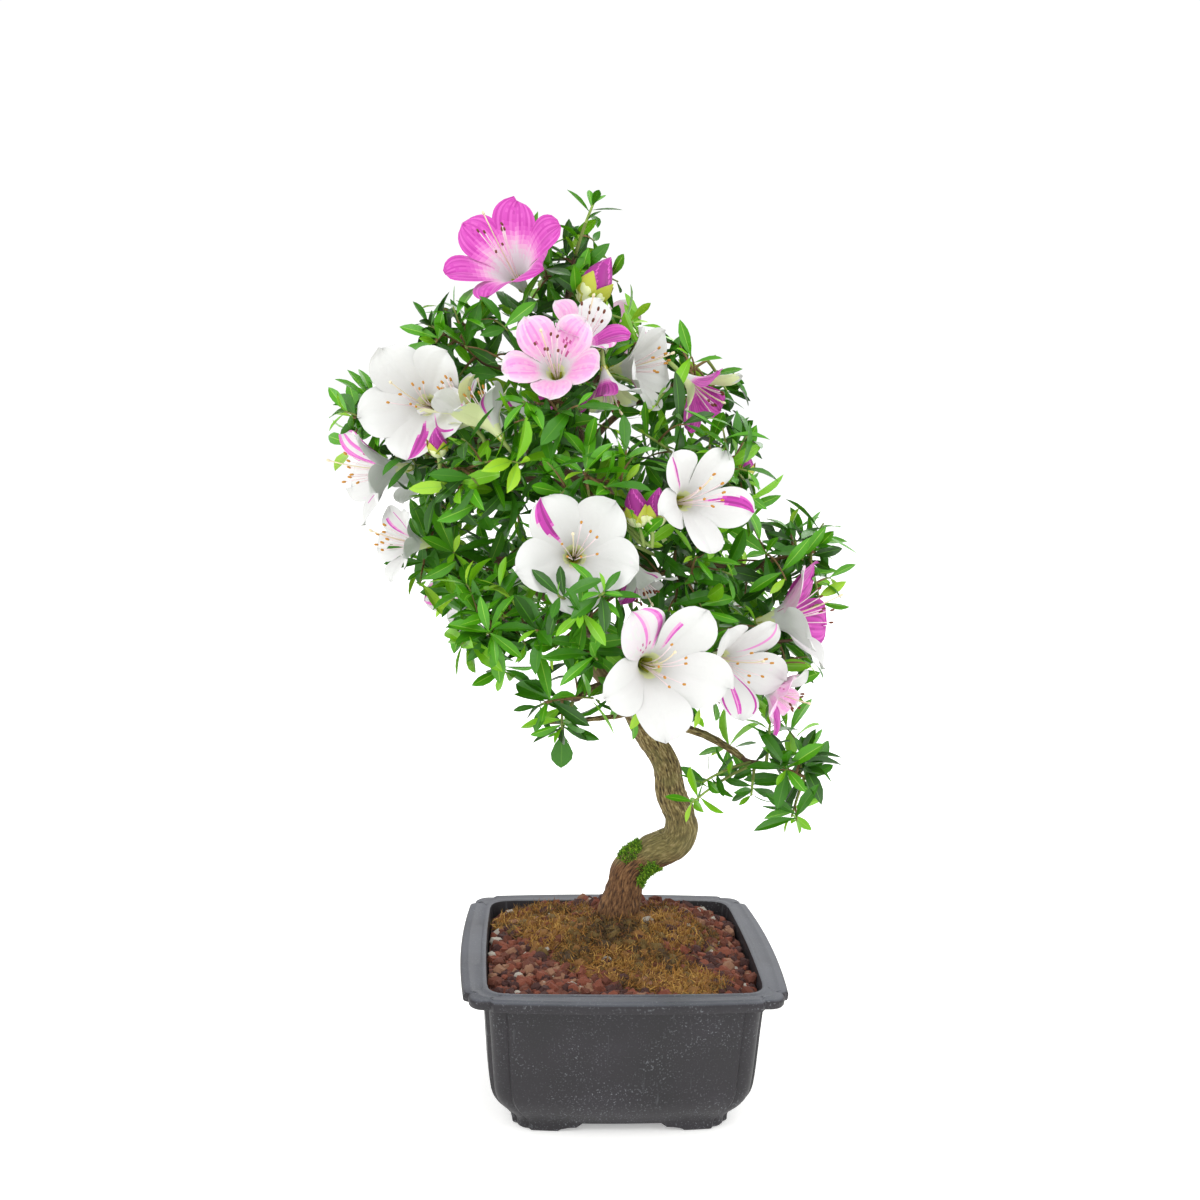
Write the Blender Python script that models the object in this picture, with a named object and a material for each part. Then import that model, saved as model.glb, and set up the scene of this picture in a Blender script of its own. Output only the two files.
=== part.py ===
"""Azalea bonsai in a square plastic training pot.

The plant stands in a pot 160 mm across and is about 450 mm tall with it. Sizes below are in
millimetres, measured from the middle of the pot's foot, with -Y the front and +Z up; MM turns
them to metres. At the end everything moves so that the origin is the middle of the underside of
the whole plant's box.
"""

import math
import random

import bmesh
import bpy
import numpy as np
from mathutils import Matrix
from mathutils.bvhtree import BVHTree

MM = 0.001

# Pot
POT_WIDTH = 160.0
POT_HEIGHT = 75.0
SIDE_BOW = 2.9  # how far each side of the rim swells between its ends
SIDE_RUN = 62.5  # half the length of a swelling side
CORNER_STEP = 2.8  # how far the corners step in from the sides
CORNER_RADIUS = 7.0
RIM_WIDTH = 12.5
RIM_BAND = 3.6  # the outer part of the rim's top, a little lower than the rest
RIM_SLOPE = 1.4
LIP_HEIGHT = 5.4
LIP_DRAFT = 0.4
# Half-width and height of the body under the lip, from the top down to the feet
POT_BODY = (
    (69.6, 69.2),
    (68.2, 52.0),
    (66.6, 30.0),
    (65.2, 20.5),
    (62.0, 13.8),
    (57.6, 8.2),
    (55.4, 4.8),
    (55.0, 1.2),
)
BODY_BOW = 2.4
BODY_STEP = 2.0
BODY_RUN = 0.80  # of the half-width
BODY_CORNER_RADIUS = 6.0
# Half-width and height of the inside, from its floor up to just under the rim
POT_INSIDE = ((43.0, 9.0), (54.5, 15.0), (61.0, 27.0), (66.0, 66.0))
INSIDE_BOW = 1.2
INSIDE_STEP = 0.4
INSIDE_CORNER_RADIUS = 9.0
INSIDE_RUN_SHORT = 12.0  # the inside's swelling sides end this far from its corners
FOOT_HALF_WIDTH = 53.8
FOOT_HEIGHT = 5.5
FOOT_WIDTH = 9.0
ARCH_HALF_WIDTH = 20.0  # between the feet, at the ground
ARCH_STEP_HALF_WIDTH = 29.0  # the low step beside each foot
ARCH_STEP_HEIGHT = 2.3
ARCH_TOP = 4.8
ARCH_REACH = 70.0
DRAIN_RADIUS = 5.0
DRAIN_PLACE = 24.0
DRAIN_SIDES = 12
SIDE_POINTS = 4

# Grit bed
GROUND = 77.5  # top of the grit at the trunk's foot
GRIT_EDGE = 69.0
GRIT_EDGE_HALF_WIDTH = 65.6
GRIT_FALL = 48.0  # how far from its level seat round the trunk it falls to its edge
GRIT_RINGS = (1.0, 0.84, 0.62, 0.42, 0.24)  # parts of the way from the trunk to the pot's wall
GRIT_ROUGHNESS = 1.1
GRIT_SEED = 11
SEAT_RADIUS = 19.0
GAP = 0.35  # between pieces that touch

# Trunk: x, y, height, radius along its middle line, from the ground to its tip
TRUNK = (
    (3, 32, 77.9, 11.5),
    (5, 31, 93, 9.6),
    (8, 30, 105, 8.9),
    (20, 29, 114, 9.1),
    (30, 28, 119.5, 9.4),
    (34, 27, 127, 9.1),
    (33, 26, 136, 8.3),
    (28, 25, 148, 7.7),
    (24.5, 25, 164, 6.8),
    (16, 23, 178, 6.9),
    (5, 21, 197, 6.7),
    (-12, 19, 217, 5.9),
    (-20, 17, 241, 5.1),
    (-14, 17, 264, 4.6),
    (-7, 19, 292, 3.9),
    (-16, 20, 319, 3.3),
    (-28, 20, 346, 2.7),
    (-33, 19, 372, 2.1),
    (-33, 18, 390, 1.7),
)
TRUNK_SIDES = 10
TRUNK_STATIONS = 29
FLARE = 2.6  # how far the root flare stands out at the ground
FLARE_HEIGHT = 9.0
FLARE_ROOTS = 4
FLARE_TURN = 0.8
FLARE_SHARE = 0.45  # of the flare, what comes and goes round the trunk
KNOT = 0.05  # of the trunk's radius
KNOT_TURN = 0.09  # radians round the trunk for each millimetre up it
KNOT_PITCH = 0.11

# A dead side branch, sawn off, low on the left of the trunk: height on the trunk and its end
STUB_HEIGHT = 191
STUB_END = (-45, 8, 188)
STUB_RADII = (1.5, 1.1)
STUB_RISE = -0.02

# Masses of foliage. Centre, reach along x, y and z, height on the trunk where the bough leaves
# (None for the one that grows on from the trunk's tip), and where its longest shoots end.
MASSES = {
    "apex": ((-31, 15, 402), (26, 33, 33), None, ((-20, 8, 446), (2, 20, 390))),
    "upper_left": ((-80, 6, 374), (31, 36, 27), 338, ((-101, 5, 386),)),
    "upper_front": ((-38, -34, 346), (29, 30, 26), 322, ()),
    "upper_right": ((26, 8, 364), (33, 36, 27), 328, ((50, 15, 356),)),
    "left": ((-116, 10, 334), (34, 36, 34), 302, ((-139, 10, 345),)),
    "mid_left": ((-70, -26, 314), (32, 34, 27), 296, ()),
    "centre_front": ((-22, -46, 312), (29, 30, 25), 285, ()),
    "mid_right": ((34, -20, 318), (32, 36, 28), 290, ((52, 5, 334),)),
    "low_left": ((-87, 12, 274), (29, 34, 30), 252, ((-101, 0, 280), (-86, -8, 252))),
    "low_left_front": ((-58, -26, 245), (28, 32, 27), 232, ((-66, -20, 236),)),
    "low_front": ((-22, -46, 246), (31, 32, 30), 222, ((-29, -80, 268), (-14, -78, 270))),
    "centre_right": ((22, -20, 270), (28, 34, 27), 262, ()),
    "right_arm": ((76, 8, 273), (34, 34, 28), 246, ((84, 0, 284), (94, 5, 271), (100, 8, 250))),
    "low_right_front": ((18, -36, 224), (32, 32, 27), 212, ()),
    "right_blooms": ((66, -4, 230), (30, 34, 26), 206, ()),
    "low_right_spray": (
        (76, 0, 168),
        (34, 34, 31),
        185,
        ((96, 5, 174), (88, 0, 142), (75, 0, 191), (40, -10, 162), (66, -4, 154)),
    ),
    "low_spray": ((-30, -20, 206), (27, 30, 24), 203, ((-31, -5, 186), (-44, -12, 200))),
    "rear_top": ((-12, 54, 371), (31, 34, 29), 334, ()),
    "rear_left": ((-74, 58, 326), (36, 36, 34), 293, ()),
    "rear_centre": ((-9, 74, 300), (36, 36, 36), 270, ()),
    "rear_right": ((42, 56, 306), (29, 36, 29), 282, ()),
    "rear_low_left": ((-59, 60, 258), (31, 36, 29), 226, ()),
    "rear_low_right": ((46, 60, 240), (35, 36, 32), 216, ()),
}
BOUGH_END = 0.45  # the bough ends at this part of the mass's reach from its centre
BOUGH_BASE_RADIUS = 2.7
BOUGH_OF_TRUNK = 0.62  # no bough is thicker at its base than this part of the trunk there
BOUGH_TAPER = 0.62  # its tip, of its base
BOUGH_RISE = 0.10
BOUGH_SIDES = 5
BOUGH_STATIONS = 3

# Growth inside a mass
SPACE_LIMIT = 1.22  # how far past its reach a mass may grow where no neighbour is nearer
SHOOT_LIMIT = 1.45  # the same for its long shoots
SHOOT_LEAF = 0.75  # the leaves of a long shoot are this much of the others' length
SPACE_MARGIN = 0.03
LIMB_GAP = 1.0
BLOOM_GAP = 1.2
GROWTH_SEED = 100
STEM_TAPER = 0.55
STEM_RISE = 0.05
STEM_STRAIGHT = 3.0
STEM_PLACES = 16  # along the stem, each for one twig or stalk
STEM_BARE = 3  # of them, those nearest to the bough, which stay bare
TWIGS = 6  # with the stem's own end
TWIG_PROBES = 8
TWIG_DIRECTIONS = 40
TWIG_TURN = 0.7  # how far one mass's directions are turned from the one's before
TWIG_REACH = 0.62
TWIG_RADII = (0.95, 0.70)
TWIG_OUTWARD = 0.55  # how much a twig that points away from the trunk is preferred
TWIGS_APART = 11.0  # the least distance between the ends of two twigs
WHORL = (0.9, 2.4, 3.9)  # how far back from a twig's end its leaves stand
LOWER_LEAF = 0.45  # one more leaf stands at this part of the twig's length
LEAF_TRIES = 7
LEAF_RETRY = 0.93  # each new try is this much shorter
LEAF_PROBES = (0.15, 0.35, 0.60, 0.80)  # of its length: places that must be clear of all else
LEAF_SWING = 0.45  # radians either way from the middle of the twig's face that it leaves by
LEAF_LENGTH = (29.0, 37.0)
LEAF_WIDTH = 0.39  # of its length
LEAF_THICKNESS = 0.9
LEAF_WIDEST = 0.60  # of its length, from its root
LEAF_ROOT_SHARE = 0.12  # of its length, next to the twig: the part that may touch other leaves
LEAF_SUNK = 0.45  # how far its root lies behind the twig's middle line
LEAF_KEEL = 0.05  # how far the blade's middle hangs under its root and tip, of its length
LEAF_TILT = (42.0, 82.0)  # degrees from the twig
GOLDEN_ANGLE = math.pi * (3.0 - math.sqrt(5.0))

# Open flowers: middle of the mouth, the way it faces, radius, number of petals
BLOOMS = (
    ((-65, -8, 423), (-0.35, -0.75, 0.55), 29, 6),
    ((-41, -56, 371), (-0.15, -0.85, 0.45), 23, 5),
    ((-22, -36, 387), (0.30, -0.60, 0.75), 20, 5),
    ((10, -16, 368), (0.85, -0.50, 0.10), 21, 5),
    ((38, -14, 352), (0.65, -0.45, -0.60), 19, 5),
    ((-106, -24, 349), (-0.30, -0.93, 0.10), 26, 5),
    ((-133, -4, 312), (-0.92, -0.30, -0.15), 24, 5),
    ((-116, -14, 281), (-0.85, -0.45, 0.10), 19, 5),
    ((-29, -80, 284), (0.00, -0.97, 0.20), 28, 5),
    ((28, -64, 308), (0.45, -0.85, 0.15), 24, 5),
    ((5, -52, 262), (0.40, -0.30, -0.85), 16, 5),
    ((15, -78, 230), (0.30, -0.95, 0.05), 29, 5),
    ((56, -46, 226), (0.55, -0.80, -0.10), 22, 5),
    ((93, -20, 250), (0.90, -0.35, 0.20), 23, 5),
    ((80, -30, 207), (0.80, -0.45, -0.40), 17, 5),
    ((-50, 102, 338), (-0.20, 0.93, 0.30), 24, 5),
    ((-6, 88, 388), (0.10, 0.80, 0.55), 24, 5),
    ((40, 100, 304), (0.30, 0.90, 0.20), 24, 5),
    ((-84, 104, 246), (-0.40, 0.90, 0.10), 24, 5),
    ((60, 104, 236), (0.50, 0.85, -0.10), 24, 5),
    ((-112, 50, 318), (-0.85, 0.50, 0.10), 22, 5),
)
BLOOM_DEPTH = 1.15  # of its radius
BLOOM_THICKNESS = 0.9
BLOOM_THROAT = 0.26  # of its depth
BLOOM_FOOT_RADIUS = 3.0
BLOOM_FLARE = 1.3
BLOOM_CLEARANCE = 1.45  # of its depth: how far in front of its foot nothing else grows
# Points of a petal: turn from its middle in petal steps, distance from the axis and height of the bloom
PETAL_EDGE = ((0.5, 0.42, 0.68), (-0.27, 0.80, 0.93), (0.27, 0.80, 0.93), (0.0, 1.0, 1.0))
PETAL_MIDDLE = (0.0, 0.56, 0.74)
STALK_RADIUS = 1.1
STALK_SUNK = 3.5
COLLAR_TILT = (60.0, 100.0)
COLLAR_BACK = 9.0  # the leaves behind a flower, from its foot

# Buds: foot, the way it points, length
BUDS = (
    ((3, -52, 296), (-0.15, -0.30, 1.00), 19),
    ((13, -50, 296), (0.20, -0.20, 1.00), 18),
    ((53, -22, 314), (0.10, -0.20, 1.00), 15),
    ((-92, -28, 322), (-0.10, -0.30, 1.00), 15),
    ((-26, -4, 396), (0.30, 0.00, 0.95), 24),
    ((28, 96, 272), (0.20, 0.80, 0.60), 18),
)
BUD_RADIUS = 0.22  # of its length
BUD_SIDES = 5
BUD_STATIONS = (-0.08, 0.25, 0.62, 1.0)  # along its length
BUD_SWELL = (0.30, 0.85, 1.0, 0.08)  # of its radius


UNION_SOLVER = "MANIFOLD"
BARK_CREASE = 40.0  # degrees: sharper edges than this stay sharp
POT_CREASE = 32.0

# ------------------------------------------------------------------------------ small helpers


def clear_scene():
    for item in list(bpy.data.objects):
        bpy.data.objects.remove(item, do_unlink=True)


def unit(vector):
    vector = np.asarray(vector, float)
    return vector / np.linalg.norm(vector)


def finish(name, colour, roughness):
    """A plain material: base colour, roughness, no metal."""
    material = bpy.data.materials.new(name)
    material.use_nodes = True
    shader = material.node_tree.nodes["Principled BSDF"]
    shader.inputs["Base Color"].default_value = (*colour, 1.0)
    shader.inputs["Roughness"].default_value = roughness
    shader.inputs["Metallic"].default_value = 0.0
    material.diffuse_color = (*colour, 1.0)
    return material


def new_object(name, points, faces, materials, collection=None):
    """A mesh object from points in millimetres."""
    mesh = bpy.data.meshes.new(name)
    mesh.from_pydata([tuple(p) for p in np.asarray(points, float) * MM], [], faces)
    mesh.validate()
    item = bpy.data.objects.new(name, mesh)
    for material in materials:
        mesh.materials.append(material)
    (collection or bpy.context.scene.collection).objects.link(item)
    return item


def loft(rings):
    """Points and faces of a closed body through rings of equal length, its ends capped."""
    count = len(rings[0])
    points = np.concatenate(rings)
    faces = []
    for level in range(len(rings) - 1):
        for k in range(count):
            here = level * count + k
            after = level * count + (k + 1) % count
            faces.append((here, after, after + count, here + count))
    faces.append(tuple(range(count))[::-1])
    faces.append(tuple(range((len(rings) - 1) * count, len(rings) * count)))
    return points, faces


def point_faces_outwards(item):
    shape = bmesh.new()
    shape.from_mesh(item.data)
    bmesh.ops.recalc_face_normals(shape, faces=shape.faces)
    shape.to_mesh(item.data)
    shape.free()


def shade_round(item, angle=BARK_CREASE):
    item.data.shade_smooth()
    item.data.set_sharp_from_angle(angle=math.radians(angle))


def boolean(item, operation, other, solver="EXACT"):
    modifier = item.modifiers.new(operation.title(), "BOOLEAN")
    modifier.operation = operation
    modifier.solver = solver
    if isinstance(other, bpy.types.Collection):
        modifier.operand_type = "COLLECTION"
        modifier.collection = other
    else:
        modifier.object = other
    return modifier


def as_cutter(item):
    item.hide_render = True
    item.display_type = "WIRE"
    return item


def apply_modifiers(item):
    graph = bpy.context.evaluated_depsgraph_get()
    made = bpy.data.meshes.new_from_object(item.evaluated_get(graph))
    item.modifiers.clear()
    old = item.data
    item.data = made
    bpy.data.meshes.remove(old)


def smooth_path(stations, count):
    """Points on a Catmull-Rom curve through the stations, evenly spread from first to last."""
    stations = np.asarray(stations, float)
    ends = (2 * stations[0] - stations[1], 2 * stations[-1] - stations[-2])
    held = np.vstack([ends[0], stations, ends[1]])
    steps = np.linspace(0, len(stations) - 1, count)
    first = np.minimum(steps.astype(int), len(stations) - 2)
    t = (steps - first)[:, None]
    a, b, c, d = (held[first + k] for k in range(4))
    return 0.5 * (2 * b + (c - a) * t + (2 * a - 5 * b + 4 * c - d) * t**2 + (3 * b - a - 3 * c + d) * t**3)


def frames_along(path):
    """For each point of a path, two unit vectors across it that don't twist."""
    forward = np.gradient(path, axis=0)
    forward /= np.linalg.norm(forward, axis=1)[:, None]
    side = np.cross(forward[0], (0.0, 1.0, 0.0) if abs(forward[0][1]) < 0.9 else (1.0, 0.0, 0.0))
    sides = []
    for step in forward:
        side = unit(side - step * np.dot(side, step))
        sides.append(side)
    sides = np.array(sides)
    return sides, np.cross(forward, sides)


def rings_along(path, radii, sides, swell=None):
    """Rings of points round a path. swell adds to the radius at each station and angle."""
    across, over = frames_along(path)
    angle = np.arange(sides) * math.tau / sides
    radius = np.repeat(np.asarray(radii, float)[:, None], sides, axis=1)
    if swell is not None:
        radius = radius + swell
    return [
        path[k] + radius[k][:, None] * (np.cos(angle)[:, None] * across[k] + np.sin(angle)[:, None] * over[k])
        for k in range(len(path))
    ]


# ---------------------------------------------------------------------------------------- pot


def outline(half_width, height, bow, run, step, radius):
    """One level of the pot: four swelling sides, with rounded corners stepped in between them."""
    corner = half_width - bow - step
    bend = corner - radius
    notch = run + max(0.6 * step, 0.6)
    quarter = [(run * t, -(half_width - bow * t * t)) for t in np.linspace(-1, 1, SIDE_POINTS)]
    quarter.append((notch, -corner))
    for turn in np.radians((-90, -45, 0)):
        quarter.append((bend + radius * math.cos(turn), -bend + radius * math.sin(turn)))
    quarter.append((corner, -notch))
    points = []
    for c, s in ((1, 0), (0, 1), (-1, 0), (0, -1)):
        points += [(c * x - s * y, s * x + c * y, height) for x, y in quarter]
    return np.array(points)


def rim_outline(half_width, height):
    return outline(half_width, height, SIDE_BOW, SIDE_RUN, CORNER_STEP, CORNER_RADIUS)


def body_outline(half_width, height):
    return outline(half_width, height, BODY_BOW, BODY_RUN * half_width, BODY_STEP, BODY_CORNER_RADIUS)


def inner_outline(half_width, height):
    run = half_width - INSIDE_RUN_SHORT
    return outline(half_width, height, INSIDE_BOW, run, INSIDE_STEP, INSIDE_CORNER_RADIUS)


def make_pot(material):
    """Inside from its floor up, rim, lip, body and feet as one lofted skin, with arches and holes cut."""
    rim = POT_WIDTH / 2
    levels = [inner_outline(half_width, height) for half_width, height in POT_INSIDE]
    levels += [
        inner_outline(rim - RIM_WIDTH - 0.6, POT_HEIGHT - 1.0),
        inner_outline(rim - RIM_WIDTH + 0.4, POT_HEIGHT),
        rim_outline(rim - RIM_BAND, POT_HEIGHT - 0.1),
        rim_outline(rim, POT_HEIGHT - RIM_SLOPE),
        rim_outline(rim - LIP_DRAFT, POT_HEIGHT - LIP_HEIGHT),
    ]
    levels += [body_outline(half_width, height) for half_width, height in POT_BODY]
    levels += [
        body_outline(FOOT_HALF_WIDTH, 0.0),
        body_outline(FOOT_HALF_WIDTH - FOOT_WIDTH, 0.0),
        body_outline(FOOT_HALF_WIDTH - FOOT_WIDTH - LIP_DRAFT, FOOT_HEIGHT),
    ]
    pot = new_object("pot", *loft(levels), [material])
    point_faces_outwards(pot)
    for turned in (False, True):
        boolean(pot, "DIFFERENCE", make_foot_arch(turned))
    for x in (-DRAIN_PLACE, DRAIN_PLACE):
        for y in (-DRAIN_PLACE, DRAIN_PLACE):
            boolean(pot, "DIFFERENCE", make_drain_cutter(x, y))
    shade_round(pot, POT_CREASE)
    return pot


def make_foot_arch(turned):
    """The stepped arch between two feet, drawn across the pot from side to side."""
    half = (
        (ARCH_STEP_HALF_WIDTH, -1.0),
        (ARCH_STEP_HALF_WIDTH, ARCH_STEP_HEIGHT - 1.0),
        (ARCH_STEP_HALF_WIDTH - 1.5, ARCH_STEP_HEIGHT),
        (ARCH_HALF_WIDTH + 1.5, ARCH_STEP_HEIGHT + 0.3),
        (ARCH_HALF_WIDTH, ARCH_TOP - 0.6),
        (ARCH_HALF_WIDTH - 2.0, ARCH_TOP),
    )
    profile = list(half) + [(-x, z) for x, z in reversed(half)]
    rings = [np.array([(x, y, z) for x, z in profile]) for y in (-ARCH_REACH, ARCH_REACH)]
    if turned:
        rings = [ring[:, (1, 0, 2)] for ring in rings]
    cutter = new_object("foot_arch_cutter", *loft(rings), [])
    point_faces_outwards(cutter)
    return as_cutter(cutter)


def make_drain_cutter(x, y):
    """A drain hole through the floor."""
    angle = np.arange(DRAIN_SIDES) * math.tau / DRAIN_SIDES
    across, over = x + DRAIN_RADIUS * np.cos(angle), y + DRAIN_RADIUS * np.sin(angle)
    heights = (FOOT_HEIGHT - 1.5, POT_INSIDE[0][1] + 1.5)
    rings = [np.stack([across, over, np.full(DRAIN_SIDES, z)], 1) for z in heights]
    cutter = new_object("drain_cutter", *loft(rings), [])
    point_faces_outwards(cutter)
    return as_cutter(cutter)


# ----------------------------------------------------------------------------------- grit bed


def grit_height(x, y, rng):
    """Level at the trunk's foot, falling away to the pot's wall, and rough with grains."""
    away = math.hypot(x - TRUNK[0][0], y - TRUNK[0][1]) - SEAT_RADIUS
    fall = min(1.0, max(0.0, away / GRIT_FALL))
    top = GROUND - GAP
    height = top - (GROUND - GRIT_EDGE) * fall * fall * (3 - 2 * fall)
    if away > 0:
        height += rng.uniform(-GRIT_ROUGHNESS, GRIT_ROUGHNESS)
    return min(height, top)


def make_grit_bed(material):
    """The grit fills the pot up to a little under its rim, and mounds towards the trunk."""
    rng = random.Random(GRIT_SEED)
    foot = np.array(TRUNK[0][:2])
    levels = [inner_outline(half_width - 1.5 * GAP, height + GAP) for half_width, height in POT_INSIDE[:-1]]
    edge = inner_outline(GRIT_EDGE_HALF_WIDTH, 0.0)
    for share in GRIT_RINGS:
        ring = edge.copy()
        ring[:, :2] = foot + (edge[:, :2] - foot) * share
        ring[:, 2] = [grit_height(x, y, rng) for x, y in ring[:, :2]]
        levels.append(ring)
    bed = new_object("grit_bed", *loft(levels), [material])
    point_faces_outwards(bed)
    return bed


# -------------------------------------------------------------------------- trunk and boughs


TRUNK_PATH = smooth_path(TRUNK, TRUNK_STATIONS)


def trunk_at(height):
    """Point on the trunk's middle line at a height."""
    return np.array([np.interp(height, TRUNK_PATH[:, 2], TRUNK_PATH[:, k]) for k in range(3)])


def trunk_radius(height):
    return float(np.interp(height, TRUNK_PATH[:, 2], TRUNK_PATH[:, 3]))


def trunk_body(grown=0.0):
    """The trunk, tapering from its root flare to its tip, with knots where it bends."""
    path = TRUNK_PATH[:, :3]
    radii = TRUNK_PATH[:, 3] + grown
    angle = np.arange(TRUNK_SIDES) * math.tau / TRUNK_SIDES
    above = (path[:, 2] - path[0, 2])[:, None]
    roots = 1 - FLARE_SHARE + FLARE_SHARE * np.cos(FLARE_ROOTS * angle + FLARE_TURN)
    flare = FLARE * np.exp(-above / FLARE_HEIGHT) * roots
    up = path[:, 2:3]
    knots = KNOT * radii[:, None] * np.sin(3 * angle + KNOT_TURN * up) * np.sin(KNOT_PITCH * up)
    rings = rings_along(path, radii, TRUNK_SIDES, flare + knots)
    rings[0][:, 2] = path[0, 2]
    return loft(rings)


def arched(start, end, rise, stations):
    """A path that leaves its start, arches up by a part of its span and ends at its tip."""
    start, end = np.asarray(start, float), np.asarray(end, float)
    span = np.linalg.norm(end - start)
    t = np.linspace(0, 1, stations)[:, None]
    arch = np.array((0.0, 0.0, 4 * rise * span)) * t * (1 - t)
    return start + (end - start) * t + arch


class Limb:
    """A trunk or bough as stations and radii, for keeping foliage off it."""

    def __init__(self, path, radii):
        self.path = np.asarray(path, float)
        self.radii = np.asarray(radii, float)


def bough_of(centre, reach, height):
    """Path and radii of the bough that carries a mass."""
    start = trunk_at(height)
    centre, reach = np.array(centre, float), np.array(reach, float)
    way = unit((centre - start) / reach) * reach
    end = centre - BOUGH_END * way
    path = arched(start, end, BOUGH_RISE, BOUGH_STATIONS)
    base = min(BOUGH_BASE_RADIUS, BOUGH_OF_TRUNK * trunk_radius(height))
    radii = np.linspace(base, BOUGH_TAPER * base, BOUGH_STATIONS)
    return path, radii


def make_bough(name, path, radii, material, trunk_cutter):
    bough = new_object(name, *loft(rings_along(path, radii, BOUGH_SIDES)), [material])
    point_faces_outwards(bough)
    boolean(bough, "DIFFERENCE", trunk_cutter)
    apply_modifiers(bough)
    keep_largest_body(bough)
    shade_round(bough)
    return bough


# ------------------------------------------------------------------ the space of each mass


NAMES = list(MASSES)
CENTRES = np.array([MASSES[name][0] for name in NAMES], float)
REACHES = np.array([MASSES[name][1] for name in NAMES], float)


def in_own_space(points, own, limit):
    """True if every point is nearer to this mass, in units of reach, than to any neighbour."""
    points = np.atleast_2d(points)
    share = np.linalg.norm((points[:, None, :] - CENTRES) / REACHES, axis=2)
    mine = share[:, own]
    others = np.delete(share, own, axis=1).min(axis=1)
    return bool((mine < limit).all() and (mine + SPACE_MARGIN < others).all())


def clear_of_limbs(points, limbs, gap):
    """True if no point comes within the gap of a limb's bark."""
    points = np.atleast_2d(points)[:, None, :]
    for limb in limbs:
        start, along = limb.path[:-1], np.diff(limb.path, axis=0)
        t = ((points - start) * along).sum(2) / (along**2).sum(1)
        t = t.clip(0, 1)
        nearest = start + t[:, :, None] * along
        bark = limb.radii[:-1] + t * np.diff(limb.radii)
        if (np.linalg.norm(points - nearest, axis=2) - bark < gap).any():
            return False
    return True


def clear_of_blooms(points, blooms, gap):
    """True if no point is inside a flower, in front of it or within the gap of it."""
    points = np.atleast_2d(points)
    for foot, axis, radius, depth in blooms:
        along = (points - foot) @ axis
        across = np.linalg.norm(points - foot - along[:, None] * axis, axis=1)
        share = (along / depth).clip(0, 1)
        edge = BLOOM_FOOT_RADIUS + (radius - BLOOM_FOOT_RADIUS) * share**BLOOM_FLARE
        inside = (along > -BLOOM_FOOT_RADIUS) & (along < depth * BLOOM_CLEARANCE) & (across < edge + gap)
        if inside.any():
            return False
    return True


# ----------------------------------------------------------------- leaves, twigs and flowers


def leaf(root, way, face, length):
    """A blade of six faces: root, tip, two sides, and a point above its middle."""
    side = unit(np.cross(way, face))
    face = np.cross(side, way)
    middle = root + way * length * LEAF_WIDEST
    half = side * length * LEAF_WIDTH / 2
    hang = face * length * LEAF_KEEL
    left, right, tip = middle + half - hang, middle - half - hang, root + way * length
    points = np.array([root, left, tip, right, middle + face * LEAF_THICKNESS])
    return points, [(0, 1, 4), (1, 2, 4), (2, 3, 4), (3, 0, 4), (1, 0, 3), (2, 1, 3)]


def prism(path, radii):
    """A three-sided twig."""
    return loft(rings_along(np.asarray(path, float), radii, 3))


def bloom(foot, axis, radius, petals):
    """A funnel with pointed petals, which share their edges between its inner and outer face."""
    depth = radius * BLOOM_DEPTH
    across = unit(np.cross(axis, (0.0, 0.0, 1.0) if abs(axis[2]) < 0.9 else (1.0, 0.0, 0.0)))
    over = np.cross(axis, across)

    def ring(turn, share, along):
        angle = (np.arange(petals) + turn) * math.tau / petals + math.pi / 2
        spread = np.cos(angle)[:, None] * across + np.sin(angle)[:, None] * over
        return foot + spread * radius * share + axis * depth * along

    edge = [ring(turn, share, along) for turn, share, along in PETAL_EDGE]
    middle = ring(*PETAL_MIDDLE)
    poles = [foot, foot + axis * depth * BLOOM_THROAT]
    points = np.vstack([*edge, middle, middle + axis * BLOOM_THICKNESS, poles])
    faces = []
    for k in range(petals):
        rim = [(k - 1) % petals, petals + k, 3 * petals + k, 2 * petals + k, k]
        for layer, flip in ((4, False), (5, True)):
            ends = rim + [6 * petals + layer - 4]
            made = [(ends[j], ends[(j + 1) % 6], layer * petals + k) for j in range(6)]
            faces += [f[::-1] for f in made] if flip else made
    return points, faces


def bud(foot, axis, length):
    """A closed flower: a spindle."""
    radius = BUD_RADIUS * length
    path = foot + np.outer(np.array(BUD_STATIONS) * length, axis)
    return loft(rings_along(path, np.array(BUD_SWELL) * radius, BUD_SIDES))


def golden_directions(count, start):
    """Directions spread evenly over a sphere along a spiral of golden angles."""
    k = np.arange(count)
    up = 1 - 2 * (k + 0.5) / count
    turn = k * GOLDEN_ANGLE + start
    flat = np.sqrt(1 - up * up)
    return np.stack([flat * np.cos(turn), flat * np.sin(turn), up], 1)


def points_on(path, count):
    steps = np.linspace(0, len(path) - 1, count)
    return np.stack([np.interp(steps, np.arange(len(path)), path[:, k]) for k in range(3)], 1)


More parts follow.
